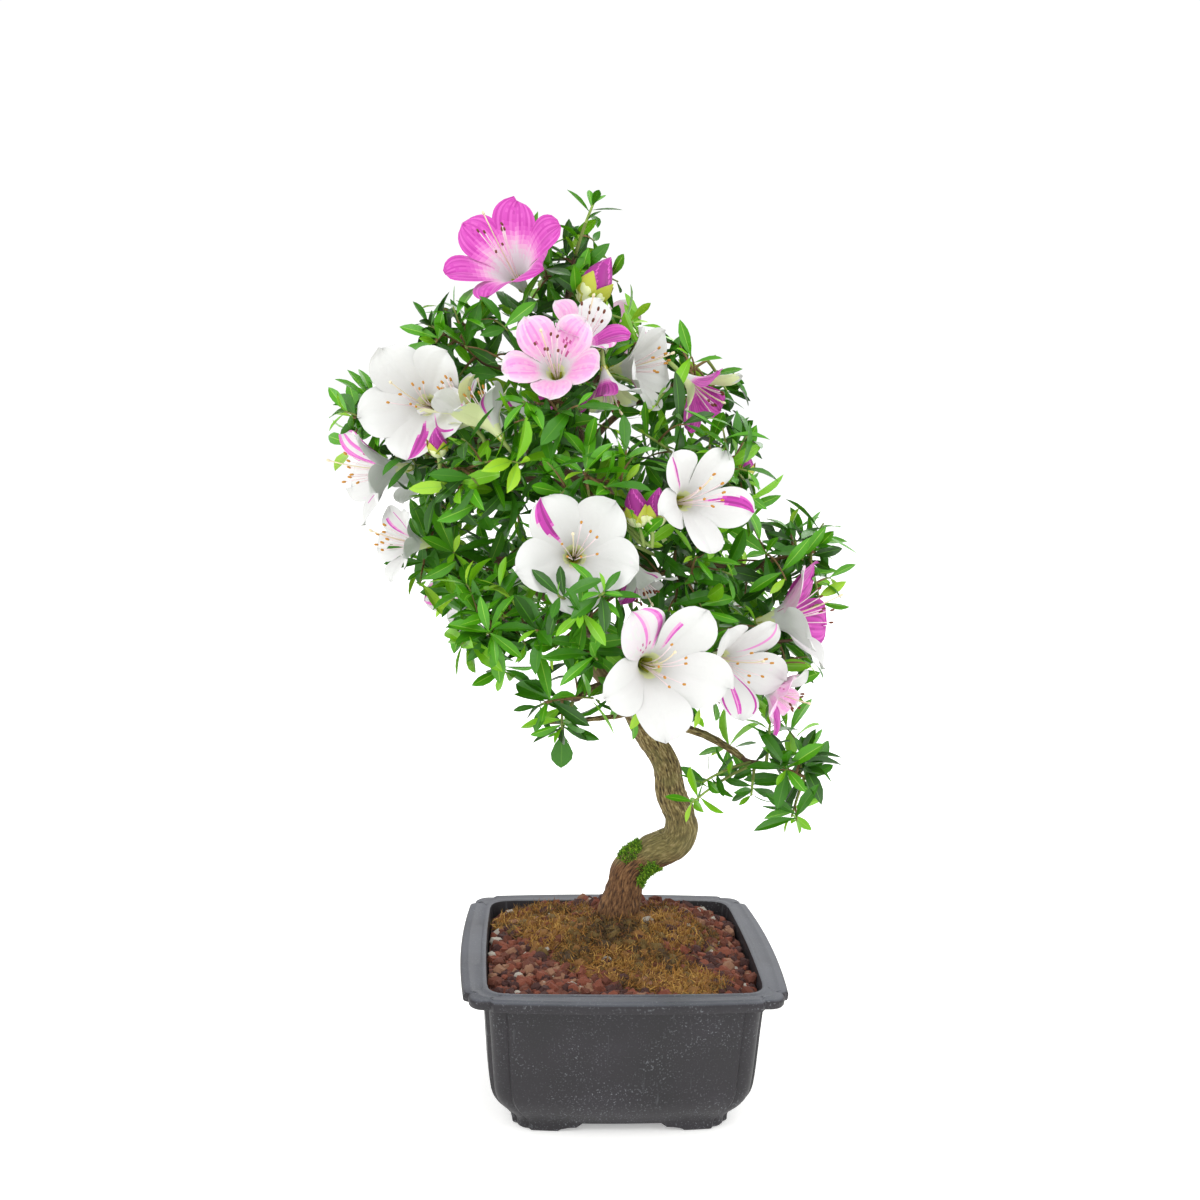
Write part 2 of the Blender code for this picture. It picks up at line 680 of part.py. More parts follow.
class Growth:
    """The growing of one mass: it collects the bodies that are fused into one at the end."""

    def __init__(self, own, limbs, blooms):
        self.own = own
        self.limbs = limbs
        self.blooms = blooms
        self.rng = random.Random(GROWTH_SEED + own)
        self.bodies = []
        self.probes = []

    def free(self, points, limit=SPACE_LIMIT):
        return (
            in_own_space(points, self.own, limit)
            and clear_of_limbs(points, self.limbs, LIMB_GAP)
            and clear_of_blooms(points, self.blooms, BLOOM_GAP)
        )

    def add(self, body):
        """Keeps a body, and lets later leaves feel it."""
        self.bodies.append(body)
        self.probes.append(BVHTree.FromPolygons(body[0].tolist(), body[1]))

    def add_leaf(self, place, axis, spread, tilt, length, limit):
        """One leaf from a twig: tilt is its angle from the twig's axis, spread the side it leaves by."""
        way = math.cos(tilt) * axis + math.sin(tilt) * spread
        points, faces = leaf(place - way * LEAF_SUNK, way, axis, length)
        along = points[0] + np.outer(LEAF_PROBES, points[2] - points[0])
        if not self.free(np.vstack([points[1:4], along]), limit):
            return False
        outer = points.copy()
        outer[0] = place + way * length * LEAF_ROOT_SHARE
        probe = BVHTree.FromPolygons(outer.tolist(), faces)
        if any(probe.overlap(other) for other in self.probes):
            return False
        self.probes.append(probe)
        self.bodies.append((points, faces))
        return True

    def add_whorl(self, path, backs, tilts, size=1.0, limit=SPACE_LIMIT):
        """Leaves that climb round a twig, each some way back from its end."""
        axis = unit(path[-1] - path[-2])
        across, over = (vectors[-1] for vectors in frames_along(path))
        first = self.rng.randrange(3)
        for k, back in enumerate(backs):
            for attempt in range(LEAF_TRIES):
                tilt = math.radians(self.rng.uniform(*tilts))
                length = size * self.rng.uniform(*LEAF_LENGTH) * LEAF_RETRY**attempt
                turn = (first + k + attempt + 0.5) * math.tau / 3 + self.rng.uniform(-LEAF_SWING, LEAF_SWING)
                spread = math.cos(turn) * across + math.sin(turn) * over
                if self.add_leaf(path[-1] - axis * back, axis, spread, tilt, length, limit):
                    break

    def add_stem(self, tip, way, end, radius):
        """The stem leaves the tip of its bough square to it and a gap away, then bends to its end."""
        start = tip + way * GAP
        self.stem = np.vstack([start, arched(start + way * STEM_STRAIGHT, end, STEM_RISE, 3)])
        self.add(prism(self.stem, radius * np.linspace(1, STEM_TAPER, len(self.stem))))
        self.places = points_on(self.stem[1:], STEM_PLACES)[STEM_BARE:-2]

    def take_place(self, end, clear):
        """The nearest free place on the stem from which a straight twig gets clear to its end."""
        for k in np.linalg.norm(self.places - end, axis=1).argsort():
            place = self.places[k]
            if clear(points_on(np.array([place, end]), TWIG_PROBES)[1:]):
                self.places = np.delete(self.places, k, axis=0)
                return place
        return None

    def clear_of_bark(self, points):
        return clear_of_limbs(points, self.limbs, LIMB_GAP)

    def twig_paths(self, centre, reach, outward, shoots, count):
        """Twigs to the long shoots first, then to points that lie far from each other."""
        paths = [self.stem[-2:]]
        spread = golden_directions(TWIG_DIRECTIONS, self.own * TWIG_TURN)
        ends = centre + spread * reach * TWIG_REACH
        weight = 1.0 + TWIG_OUTWARD * (spread @ outward)
        wanted = [np.array(shoot, float) for shoot in shoots]
        while len(paths) < count:
            apart = np.array([min(np.linalg.norm(end - path[-1]) for path in paths) for end in ends])
            best = int((apart * weight).argmax())
            if not wanted and weight[best] * apart[best] < TWIGS_APART:
                break
            if wanted:
                end = wanted.pop(0)
                place = self.take_place(end, self.clear_of_bark)
            else:
                end = ends[best]
                place = self.take_place(end, self.free)
                weight[best] = 0.0
            if place is not None:
                paths.append(np.array([place, end]))
        return paths

    def add_twigs(self, centre, reach, outward, shoots, count):
        paths = self.twig_paths(centre, reach, outward, shoots, count)
        for path in paths[1:]:
            self.add(prism(path, TWIG_RADII))
        for k, path in enumerate(paths):
            backs = (*WHORL, LOWER_LEAF * np.linalg.norm(path[-1] - path[-2]))
            if 0 < k <= len(shoots):
                self.add_whorl(path, backs, LEAF_TILT, SHOOT_LEAF, SHOOT_LIMIT)
            else:
                self.add_whorl(path, backs, LEAF_TILT)

    def add_stalk(self, foot, axis):
        """A stalk from the stem to a flower or bud, with a collar of leaves behind it."""
        knee = foot - axis * COLLAR_BACK
        start = self.take_place(knee, self.clear_of_bark)
        path = np.array([start, knee, foot + axis * STALK_SUNK])
        self.add(prism(path, (TWIG_RADII[0], STALK_RADIUS, STALK_RADIUS)))
        return np.array([start, knee])


def body_volume(faces):
    return sum(f.verts[0].co.cross(f.verts[1].co).dot(f.verts[2].co) for f in faces) / 6


def keep_largest_body(item):
    """Drops loose scraps and the inner shells of sealed hollows."""
    shape = bmesh.new()
    shape.from_mesh(item.data)
    bmesh.ops.triangulate(shape, faces=shape.faces)
    unseen, bodies = set(shape.faces), []
    while unseen:
        body, front = set(), [unseen.pop()]
        while front:
            face = front.pop()
            body.add(face)
            for edge in face.edges:
                for near in edge.link_faces:
                    if near in unseen:
                        unseen.remove(near)
                        front.append(near)
        bodies.append(body)
    bodies.sort(key=body_volume)
    spare = [face for body in bodies[:-1] for face in body]
    bmesh.ops.delete(shape, geom=spare, context="FACES")
    shape.to_mesh(item.data)
    shape.free()


def fuse(name, bodies, materials):
    """One solid from overlapping bodies, by one union on a collection."""
    parts = bpy.data.collections.new(name + "_parts")
    bpy.context.scene.collection.children.link(parts)
    stem = new_object(name, *bodies[0], materials)
    point_faces_outwards(stem)
    for k, body in enumerate(bodies[1:]):
        point_faces_outwards(new_object(f"{name}_part_{k}", *body, materials, parts))
    boolean(stem, "UNION", parts, UNION_SOLVER)
    apply_modifiers(stem)
    for item in list(parts.objects):
        bpy.data.objects.remove(item, do_unlink=True)
    bpy.data.collections.remove(parts)
    keep_largest_body(stem)
    return stem


def grow_mass(own, entry, limbs, blooms, material):
    """One mass of foliage: stem, flowers, buds, twigs and leaves, fused."""
    name = NAMES[own]
    shoots = MASSES[name][3]
    tip, way, radius = entry
    centre, reach = CENTRES[own], REACHES[own]
    growth = Growth(own, limbs, blooms)
    growth.add_stem(tip, way, centre + unit(centre - tip) * reach * TWIG_REACH, radius)
    stalks = []
    for (foot, axis, size, _), (_, _, _, petals) in zip(blooms, BLOOMS):
        if nearest_mass(foot) == own:
            growth.add(bloom(foot, axis, size, petals))
            stalks.append(growth.add_stalk(foot, axis))
    for foot, axis, length in BUDS:
        if nearest_mass(foot) == own:
            growth.add(bud(np.array(foot, float), unit(axis), length))
            stalks.append(growth.add_stalk(np.array(foot, float), unit(axis)))
    outward = unit(centre - trunk_at(centre[2])) if MASSES[name][2] is not None else np.array((0.0, 0.0, 1.0))
    count = TWIGS + len(shoots) // 2 - len(stalks) // 2
    growth.add_twigs(centre, reach, outward, shoots, count)
    for path in stalks:
        growth.add_whorl(path, WHORL, COLLAR_TILT)
    return fuse("foliage_" + name, growth.bodies, [material])


def nearest_mass(point):
    """The mass whose space holds a point."""
    return int(np.linalg.norm((np.array(point) - CENTRES) / REACHES, axis=1).argmin())


def main():
    clear_scene()
    plastic = finish("pot plastic", (0.062, 0.062, 0.070), 0.55)
    grit = finish("lava grit", (0.20, 0.075, 0.050), 0.95)
    bark = finish("bark", (0.18, 0.115, 0.065), 0.85)
    green = finish("azalea leaf", (0.045, 0.20, 0.025), 0.45)

    make_pot(plastic)
    make_grit_bed(grit)

    trunk = new_object("trunk", *trunk_body(), [bark])
    point_faces_outwards(trunk)
    shade_round(trunk)
    trunk_cutter = as_cutter(new_object("trunk_clearance", *trunk_body(grown=GAP), []))
    point_faces_outwards(trunk_cutter)

    stub_path = arched(trunk_at(STUB_HEIGHT), STUB_END, STUB_RISE, BOUGH_STATIONS)
    stub_radii = np.linspace(*STUB_RADII, BOUGH_STATIONS)
    make_bough("sawn_stub", stub_path, stub_radii, bark, trunk_cutter)
    limbs = [Limb(TRUNK_PATH[:, :3], TRUNK_PATH[:, 3]), Limb(stub_path, stub_radii)]
    entries = {}
    for name, (centre, reach, height, _) in MASSES.items():
        if height is None:
            last, tip = TRUNK_PATH[-2:, :3]
            entries[name] = tip, unit(tip - last), TRUNK_PATH[-1, 3]
            continue
        path, radii = bough_of(centre, reach, height)
        make_bough("bough_" + name, path, radii, bark, trunk_cutter)
        limbs.append(Limb(path, radii))
        entries[name] = path[-1], unit(path[-1] - path[-2]), radii[-1]

    blooms = []
    for mouth, axis, radius, _ in BLOOMS:
        depth = radius * BLOOM_DEPTH
        blooms.append((np.array(mouth) - unit(axis) * depth, unit(axis), radius, depth))
    for own, name in enumerate(NAMES):
        grow_mass(own, entries[name], limbs, blooms, green)
    centre_on_origin()


def centre_on_origin():
    """Moves every piece so that the origin is the middle of the underside of the whole."""
    bpy.context.view_layer.update()
    items = [item for item in bpy.data.objects if not item.hide_render]
    corners = np.array([v.co for item in items for v in item.data.vertices])
    low, high = corners.min(0), corners.max(0)
    shift = Matrix.Translation((-(low[0] + high[0]) / 2, -(low[1] + high[1]) / 2, -low[2]))
    for item in bpy.data.objects:
        item.data.transform(shift)


main()
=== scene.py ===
# %% [markdown]
# # An azalea bonsai in its training pot
#
# A satsuki azalea, about 45 cm tall with its pot: a trunk that swings to one side and back, short boughs, a
# dense crown of small glossy leaves and big five-lobed flowers, white with magenta. The solids of the CAD
# model come in as a fixed frame. Every piece below stands where its solid stands and takes over its looks.

import math

import bmesh
import bpy
import numpy as np
from mathutils import Matrix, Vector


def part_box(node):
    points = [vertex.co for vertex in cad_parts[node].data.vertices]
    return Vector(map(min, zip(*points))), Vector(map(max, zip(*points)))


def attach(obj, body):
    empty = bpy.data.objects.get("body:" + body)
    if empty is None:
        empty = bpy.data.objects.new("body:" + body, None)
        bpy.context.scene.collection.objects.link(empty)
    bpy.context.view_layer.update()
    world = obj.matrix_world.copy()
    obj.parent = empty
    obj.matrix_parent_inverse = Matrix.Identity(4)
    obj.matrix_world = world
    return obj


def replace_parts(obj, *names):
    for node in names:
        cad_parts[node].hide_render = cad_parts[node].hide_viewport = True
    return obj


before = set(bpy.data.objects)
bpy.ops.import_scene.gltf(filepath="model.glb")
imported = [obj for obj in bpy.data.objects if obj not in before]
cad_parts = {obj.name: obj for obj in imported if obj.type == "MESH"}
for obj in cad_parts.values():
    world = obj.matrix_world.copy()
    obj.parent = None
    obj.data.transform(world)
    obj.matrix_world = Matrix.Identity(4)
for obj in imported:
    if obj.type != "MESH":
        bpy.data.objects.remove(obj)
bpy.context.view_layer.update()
MM = 0.001
pot_low, pot_high = (np.array(corner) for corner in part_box("pot"))
POT_CENTRE = (pot_low + pot_high) / 2 * (1, 1, 0)
print("solids in the frame:", len(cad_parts))
print("middle of the pot, in metres:", POT_CENTRE.round(4))

# %% [markdown]
# ## Camera, light and floor
#
# A plant portrait is taken from a little above, with a normal lens, against white. The camera stands 0.72 m
# from the pot and looks down by seven degrees. Big soft lamps on both sides and a bright room give pale
# shadows. The floor glows faintly, as a light table does, so that its far edge melts into the white of the
# room.

# %% Camera
CAMERA_PLACE = np.array((-0.0582, -0.7160, 0.3408))  # from the middle of the pot's foot
CAMERA_PITCH, CAMERA_YAW, CAMERA_ROLL = (math.radians(angle) for angle in (7.03, -3.62, 1.31))
LENS = 43.5


def camera_axes(pitch, yaw, roll):
    """Right, up and forward of a camera turned by yaw, tipped down by pitch, then rolled about its view."""
    forward = np.array((-math.sin(yaw) * math.cos(pitch), math.cos(yaw) * math.cos(pitch), -math.sin(pitch)))
    level = np.array((math.cos(yaw), math.sin(yaw), 0.0))
    above = np.cross(level, forward)
    right = level * math.cos(roll) + above * math.sin(roll)
    return right, above * math.cos(roll) - level * math.sin(roll), forward


def stand(thing, right, up, back, place):
    """Puts a camera or a lamp at a place, with its own x, y and z along right, up and back."""
    turn = np.column_stack([right, up, back, place])
    thing.matrix_world = Matrix([[*row] for row in np.vstack([turn, (0, 0, 0, 1)])])
    bpy.context.scene.collection.objects.link(thing)


right, up, forward = camera_axes(CAMERA_PITCH, CAMERA_YAW, CAMERA_ROLL)
camera = bpy.data.objects.new("camera", bpy.data.cameras.new("camera"))
camera.data.lens = LENS
camera.data.sensor_width = 36.0
stand(camera, right, up, -forward, CAMERA_PLACE + POT_CENTRE)
bpy.context.scene.camera = camera
print("camera at", (CAMERA_PLACE + POT_CENTRE).round(3))

# %% Lamps and room
LAMPS = {  # place from the pot, size and power
    "key_lamp": ((-1.1, -1.5, 1.7), 1.3, 22.0),
    "side_lamp": ((1.5, -0.9, 1.2), 1.1, 10.0),
    "back_lamp": ((0.5, 1.6, 1.6), 1.2, 14.0),
}
AIM = np.array((0.0, 0.0, 0.25))
ROOM_STRENGTH = 1.04
WHITE_LIGHT = (1.0, 1.0, 1.0, 1.0)


def unit(vectors):
    """The same directions, with length one."""
    return vectors / np.linalg.norm(vectors, axis=-1, keepdims=True)


def make_lamp(name, place, size, power):
    """A square soft lamp at a place, turned to the middle of the crown."""
    lamp = bpy.data.objects.new(name, bpy.data.lights.new(name, "AREA"))
    lamp.data.size, lamp.data.energy = size, power
    behind = unit(np.array(place) - AIM)
    side = unit(np.cross((0, 0, 1), behind))
    stand(lamp, side, np.cross(behind, side), behind, np.array(place) + POT_CENTRE)


for lamp_name, lamp in LAMPS.items():
    make_lamp(lamp_name, *lamp)
room = bpy.data.worlds.new("white room")
room.use_nodes = True
room.node_tree.nodes["Background"].inputs["Color"].default_value = WHITE_LIGHT
room.node_tree.nodes["Background"].inputs["Strength"].default_value = ROOM_STRENGTH
bpy.context.scene.world = room
bpy.context.scene.view_settings.view_transform = "Standard"
print("lamps:", ", ".join(LAMPS))

# %% [markdown]
# ## Small tools
#
# Every piece is computed as arrays and handed to Blender in one go. Three helpers do most of it: one turns
# hex colours into the linear light Blender reckons with, one adds a shader node, and one makes a mesh from
# points and faces. Shapes are in millimetres from the middle of the pot's foot, the way a maker would
# measure them.

# %% Colours, nodes and finishes


def linear(colour):
    """An sRGB hex colour as linear red, green, blue and alpha."""
    share = np.array([int(colour[k : k + 2], 16) for k in (1, 3, 5)]) / 255
    light = np.where(share <= 0.04045, share / 12.92, ((share + 0.055) / 1.055) ** 2.4)
    return (*light, 1.0)


def add(material, kind, settings=None, **inputs):
    """Adds a shader node. Settings are its switches, inputs are numbers, colours or outputs of other nodes."""
    tree = material.node_tree
    node = tree.nodes.new("ShaderNode" + kind)
    for name, value in (settings or {}).items():
        setattr(node, name, value)
    for name, value in inputs.items():
        socket = node.inputs[int(name[1:])] if name[1:].isdigit() else node.inputs[name.replace("_", " ")]
        if isinstance(value, bpy.types.NodeSocket):
            tree.links.new(value, socket)
        else:
            socket.default_value = value
    return node


def finish(name, colour, roughness, **sockets):
    """A material with plain values on the shader's own sockets."""
    material = bpy.data.materials.new(name)
    material.use_nodes = True
    shader = material.node_tree.nodes["Principled BSDF"]
    shader.inputs["Base Color"].default_value = linear(colour)
    shader.inputs["Roughness"].default_value = roughness
    for socket, value in sockets.items():
        shader.inputs[socket.replace("_", " ")].default_value = value
    material.diffuse_color = linear(colour)
    return material


def plug(material, **sockets):
    """Links outputs of other nodes into the shader's sockets."""
    shader = material.node_tree.nodes["Principled BSDF"]
    for socket, output in sockets.items():
        material.node_tree.links.new(output, shader.inputs[socket.replace("_", " ")])


def ramp(material, factor, stops):
    """A colour ramp through (place, hex colour) stops."""
    node = add(material, "ValToRGB", F0=factor)
    while len(node.color_ramp.elements) < len(stops):
        node.color_ramp.elements.new(0.5)
    for element, (place, colour) in zip(node.color_ramp.elements, stops):
        element.position = place
        element.color = linear(colour)
    return node.outputs["Color"]


def noise_scale(size):
    """Scale of a noise whose lumps are about this many millimetres across."""
    return 1 / (size * MM)


def roughen(material, size, detail, strength, depth):
    """Gives a finish a fine uneven face: noise in the piece's own space, as relief. Hands the noise on."""
    place = add(material, "TexCoord").outputs["Object"]
    noise = add(material, "TexNoise", Vector=place, Scale=noise_scale(size), Detail=detail).outputs["Fac"]
    relief = add(material, "Bump", Height=noise, Strength=strength, Distance=depth * MM)
    plug(material, Normal=relief.outputs["Normal"])
    return noise


print("half of full brightness, as linear light:", round(float(linear("#808080")[0]), 3))

# %% Grids of faces


def smooth_step(low, high, x):
    """0 below low, 1 above high, and 3s² − 2s³ between them."""
    s = np.clip((x - low) / (high - low), 0, 1)
    return s * s * (3 - 2 * s)


def quads(count, rows, columns, closed=False):
    """Faces of `count` grids of rows × columns points, each closed round its columns or not."""
    first = np.arange(columns if closed else columns - 1)
    here = np.arange(rows - 1)[:, None] * columns + first
    after = np.arange(rows - 1)[:, None] * columns + (first + 1) % columns
    faces = np.stack([here, after, after + columns, here + columns], -1).reshape(-1, 4)
    return (np.arange(count)[:, None, None] * rows * columns + faces).reshape(-1, 4)


print("faces of an open grid and of a closed one:", len(quads(1, 3, 4)), len(quads(1, 3, 4, closed=True)))

# %% Pieces


def new_piece(name, points, groups, finishes, tones=0, smooth=True, slot="foliage"):
    """A mesh at the origin from points in millimetres and arrays of faces, each face with a finish number."""
    mesh = bpy.data.meshes.new(name)
    corners = np.concatenate([group.ravel() for group in groups])
    sizes = np.concatenate([np.full(len(group), group.shape[1]) for group in groups])
    mesh.vertices.add(len(points))
    mesh.vertices.foreach_set("co", (points * MM + POT_CENTRE).astype(np.float32).ravel())
    mesh.loops.add(len(corners))
    mesh.loops.foreach_set("vertex_index", corners.astype(np.int32))
    mesh.polygons.add(len(sizes))
    mesh.polygons.foreach_set("loop_start", (np.cumsum(sizes) - sizes).astype(np.int32))
    mesh.polygons.foreach_set("material_index", np.broadcast_to(tones, len(sizes)).astype(np.int32))
    mesh.polygons.foreach_set("use_smooth", np.full(len(sizes), smooth))
    for material in finishes:
        mesh.materials.append(material)
    mesh.update(calc_edges=True)
    mesh.validate()
    piece = bpy.data.objects.new(name, mesh)
    bpy.context.scene.collection.objects.link(piece)
    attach(piece, "root")
    print(f"{name}: {int((sizes - 2).sum())} triangles")
    return piece


class Heap:
    """Collects the points, faces and finish numbers of many small shapes that become one mesh."""

    def __init__(self):
        self.points, self.faces, self.tones, self.count = [], [], [], 0

    def add(self, points, faces, tones=0):
        points = points.reshape(-1, 3)
        self.points.append(points)
        self.faces.append(faces + self.count)
        self.tones.append(np.broadcast_to(tones, len(faces)))
        self.count += len(points)

    def close(self, points, caps, tone):
        """End faces on the points that were added last."""
        self.faces.append(caps + self.count - len(points))
        self.tones.append(np.full(len(caps), tone))

    def piece(self, name, finishes, **how):
        """One mesh of all that was collected, its faces sorted by their number of corners."""
        order = sorted(range(len(self.faces)), key=lambda k: self.faces[k].shape[1])
        groups = [self.faces[k] for k in order]
        tones = np.concatenate([self.tones[k] for k in order])
        return new_piece(name, np.concatenate(self.points), groups, finishes, tones, **how)


# %% The floor
FLOOR_REACH = 6.0
FLOOR_GLOW = 0.32
floor_finish = finish("white floor", "#f8f8f6", 0.6)
floor_shader = floor_finish.node_tree.nodes["Principled BSDF"]
floor_shader.inputs["Emission Color"].default_value = WHITE_LIGHT
floor_shader.inputs["Emission Strength"].default_value = FLOOR_GLOW
floor_mesh = bpy.data.meshes.new("floor")
corners = [(-FLOOR_REACH, -FLOOR_REACH, 0), (FLOOR_REACH, -FLOOR_REACH, 0), (FLOOR_REACH, FLOOR_REACH, 0)]
floor_mesh.from_pydata([*corners, (-FLOOR_REACH, FLOOR_REACH, 0)], [], [(0, 1, 2, 3)])
floor_mesh.materials.append(floor_finish)
floor = bpy.data.objects.new("floor", floor_mesh)
bpy.context.scene.collection.objects.link(floor)
print("floor:", 2 * FLOOR_REACH, "m square")

# %% [markdown]
# ## The pot
#
# A training pot is injection-moulded polypropylene, dyed charcoal: square, with swelling sides, stepped
# corners, a broad rolled rim and four feet. It could be a cube with bevels, but its sides swell and its
# corners step, so it is one outline carried along a profile: inside, rim, lip, body, feet.

# %% Outline of the pot
POT_WIDTH, POT_HEIGHT = 160.0, 75.0
SIDE_POINTS, CORNER_POINTS = 29, 11


def outline(half_width, height, bow, run, step, radius):
    """Four sides that swell as a parabola, width − bow·t², joined by quarter circles stepped in behind them.

    run is half the length of a side's own face, step how far a corner is set in, and radius its rounding.
    """
    corner = half_width - bow - step
    bend = corner - radius
    notch = run + max(0.6 * step, 0.6)
    t = np.linspace(-1, 1, SIDE_POINTS)
    turn = np.radians(np.linspace(-90, 0, CORNER_POINTS))
    side = np.stack([run * t, -(half_width - bow * t * t)], 1)
    arc = np.stack([bend + radius * np.cos(turn), -bend + radius * np.sin(turn)], 1)
    quarter = np.vstack([side, (notch, -corner), arc, (corner, -notch)])
    turns = [np.array(((c, s), (-s, c))) for c, s in ((1, 0), (0, 1), (-1, 0), (0, -1))]
    loop = np.vstack([quarter @ turned for turned in turns])
    return np.column_stack([loop, np.full(len(loop), height)])


def rim_outline(half_width, height):
    return outline(half_width, height, bow=2.9, run=62.5, step=2.8, radius=7.0)


def body_outline(half_width, height):
    return outline(half_width, height, bow=2.4, run=0.80 * half_width, step=2.0, radius=6.0)


def inner_outline(half_width, height):
    return outline(half_width, height, bow=1.2, run=half_width - 12.0, step=0.4, radius=9.0)


def smooth_path(stations, count):
    """Points on a Catmull-Rom curve, which passes every station along the chord of its neighbours."""
    stations = np.asarray(stations, float)
    held = np.vstack([2 * stations[0] - stations[1], stations, 2 * stations[-1] - stations[-2]])
    steps = np.linspace(0, len(stations) - 1, count)
    first = np.minimum(steps.astype(int), len(stations) - 2)
    t = (steps - first)[:, None]
    a, b, c, d = (held[first + k] for k in range(4))
    return 0.5 * (2 * b + (c - a) * t + (2 * a - 5 * b + 4 * c - d) * t**2 + (3 * b - a - 3 * c + d) * t**3)


print("points round the rim:", len(rim_outline(POT_WIDTH / 2, POT_HEIGHT)))

# %% Plastic of the pot
# Polypropylene, moulded and left outdoors. The mould gives it a fine matt grain. Hard water and dust leave
# fine pale flecks, more of them low down, and faint short runs down the sides. The rim and other faces that
# look up are paler, partly from dust and partly as a painted reflection of the bright room.
plastic = finish("moulded polypropylene, charcoal", "#302f32", 0.5, IOR=1.45)
place = add(plastic, "TexCoord").outputs["Object"]
cloud = add(plastic, "TexNoise", Vector=place, Scale=noise_scale(26.3), Detail=5.0).outputs["Fac"]
base = ramp(plastic, cloud, ((0.3, "#171519"), (0.55, "#1f1c21"), (0.8, "#29262c")))
streak_size = tuple(noise_scale(size) for size in (3.03, 3.03, 62.5))
drawn_out = add(plastic, "Mapping", Vector=place, Scale=streak_size).outputs["Vector"]
streak = add(plastic, "TexNoise", Vector=drawn_out, Scale=1.0, Detail=3.0).outputs["Fac"]
runs = add(plastic, "MapRange", Value=streak, From_Min=0.66, From_Max=0.86, To_Max=0.22).outputs["Result"]
fleck = add(plastic, "TexNoise", Vector=place, Scale=noise_scale(0.909), Detail=4.0).outputs["Fac"]
fleck_mask = add(plastic, "MapRange", Value=fleck, From_Min=0.58, From_Max=0.76, To_Max=0.66).outputs["Result"]
patch = add(plastic, "TexNoise", Vector=place, Scale=noise_scale(22.2), Detail=5.0).outputs["Fac"]
height = add(plastic, "SeparateXYZ", Vector=place).outputs["Z"]
low_down = add(plastic, "MapRange", Value=height, From_Max=0.03, To_Min=0.16, To_Max=0.0).outputs["Result"]
patch = add(plastic, "Math", {"operation": "ADD"}, F0=patch, F1=low_down).outputs["Value"]
patch_mask = add(plastic, "MapRange", Value=patch, From_Min=0.40, From_Max=0.68, To_Min=0.15).outputs["Result"]
fleck_mask = add(plastic, "Math", {"operation": "MULTIPLY"}, F0=fleck_mask, F1=patch_mask).outputs["Value"]
lime = add(plastic, "Math", {"operation": "MAXIMUM"}, F0=runs, F1=fleck_mask).outputs["Value"]

# Faces that look up turn paler in the pale parts of the cloud: partly dust, partly a painted reflection of the
# bright room.
facing = add(plastic, "NewGeometry").outputs["Normal"]
upward = add(plastic, "SeparateXYZ", Vector=facing).outputs["Z"]
dust_and_reflection_on_top = add(plastic, "MapRange", Value=upward, From_Min=0.62, From_Max=0.97, To_Max=0.66).outputs["Result"]
rim_grey = add(plastic, "MapRange", Value=cloud, From_Min=0.25, From_Max=0.6, To_Min=0.5).outputs["Result"]
dust_and_reflection_on_top = add(plastic, "Math", {"operation": "MULTIPLY"}, F0=dust_and_reflection_on_top, F1=rim_grey).outputs["Value"]
# Mixes in the pale grey on up-facing faces, part dust and part painted reflection.
mixed = add(plastic, "MixRGB", Fac=dust_and_reflection_on_top, Color1=base, Color2=linear("#5f626b")).outputs["Color"]
mixed = add(plastic, "MixRGB", Fac=lime, Color1=mixed, Color2=linear("#8f9499")).outputs["Color"]
rough = add(plastic, "MapRange", Value=cloud, To_Min=0.42, To_Max=0.62).outputs["Result"]
plug(plastic, Base_Color=mixed, Roughness=rough)
roughen(plastic, size=0.455, detail=2.0, strength=0.12, depth=0.2)
print("nodes in the plastic:", len(plastic.node_tree.nodes))

# %% The pot's profile
# Each station is half the width and the height of one outline, in the order in which the skin runs: from the
# middle of the floor up the inside, over the rim, down the body and in under the feet.
FLOOR_TOP, FLOOR_UNDER = 9.0, 5.5
POT_INSIDE = ((43.0, FLOOR_TOP), (54.5, 15.0), (61.0, 27.0), (66.0, 66.0))
INNER_LIP = ((66.9, 74.0), (67.1, 74.7))
INNER_BEAD = ((67.9, 75.0), (69.1, 75.0), (69.7, 74.6))
OUTER_BEAD = ((75.2, 74.65), (75.7, 74.9), (76.3, 74.85))
RIM = (
    (76.8, 74.6), (78.2, 74.45), (79.1, 74.2), (79.7, 73.7), (79.95, 73.2), (80.0, 72.7), (79.9, 71.6),
    (79.75, 70.6), (79.4, 69.95), (78.6, 69.65),
)
POT_BODY = (
    (69.6, 69.2), (68.2, 52.0), (66.6, 30.0), (65.2, 20.5), (62.0, 13.8), (57.6, 8.2), (55.4, 4.8),
    (55.0, 1.2),
)
FOOT = ((54.6, 0.5), (53.8, 0.0), (44.8, 0.0), (44.4, 0.5), (44.4, FLOOR_UNDER))
ARCH = ((19.4, 4.8), (20.0, 4.2), (21.5, 2.6), (27.5, 2.3), (29.0, 1.3), (29.6, 0.0))
ARCH_TOP, SKIRT_LEVELS = 5.4, 11  # the outlines that the arches cut into are the last eleven


def arch_height(across):
    """Height of the stepped arch between two feet at a distance from the middle of the side."""
    far, high = np.array(ARCH).T
    return np.interp(np.abs(across), far, high)


levels = [inner_outline(*station) for station in (*smooth_path(POT_INSIDE, 12), *INNER_LIP, *INNER_BEAD)]
levels += [rim_outline(*station) for station in OUTER_BEAD + RIM]
levels += [body_outline(*station) for station in (*smooth_path(POT_BODY, 34), *FOOT)]
skin = np.array(levels)
over_arch = np.minimum(np.abs(skin[..., 0]), np.abs(skin[..., 1]))
skirt = np.arange(len(levels)) >= len(levels) - SKIRT_LEVELS
lifted = np.maximum(skin[..., 2], np.minimum(arch_height(over_arch), ARCH_TOP))
skin[..., 2] = np.where(skirt[:, None] & (skin[..., 2] < ARCH_TOP), lifted, skin[..., 2])
print("outlines in the pot's skin:", len(levels))

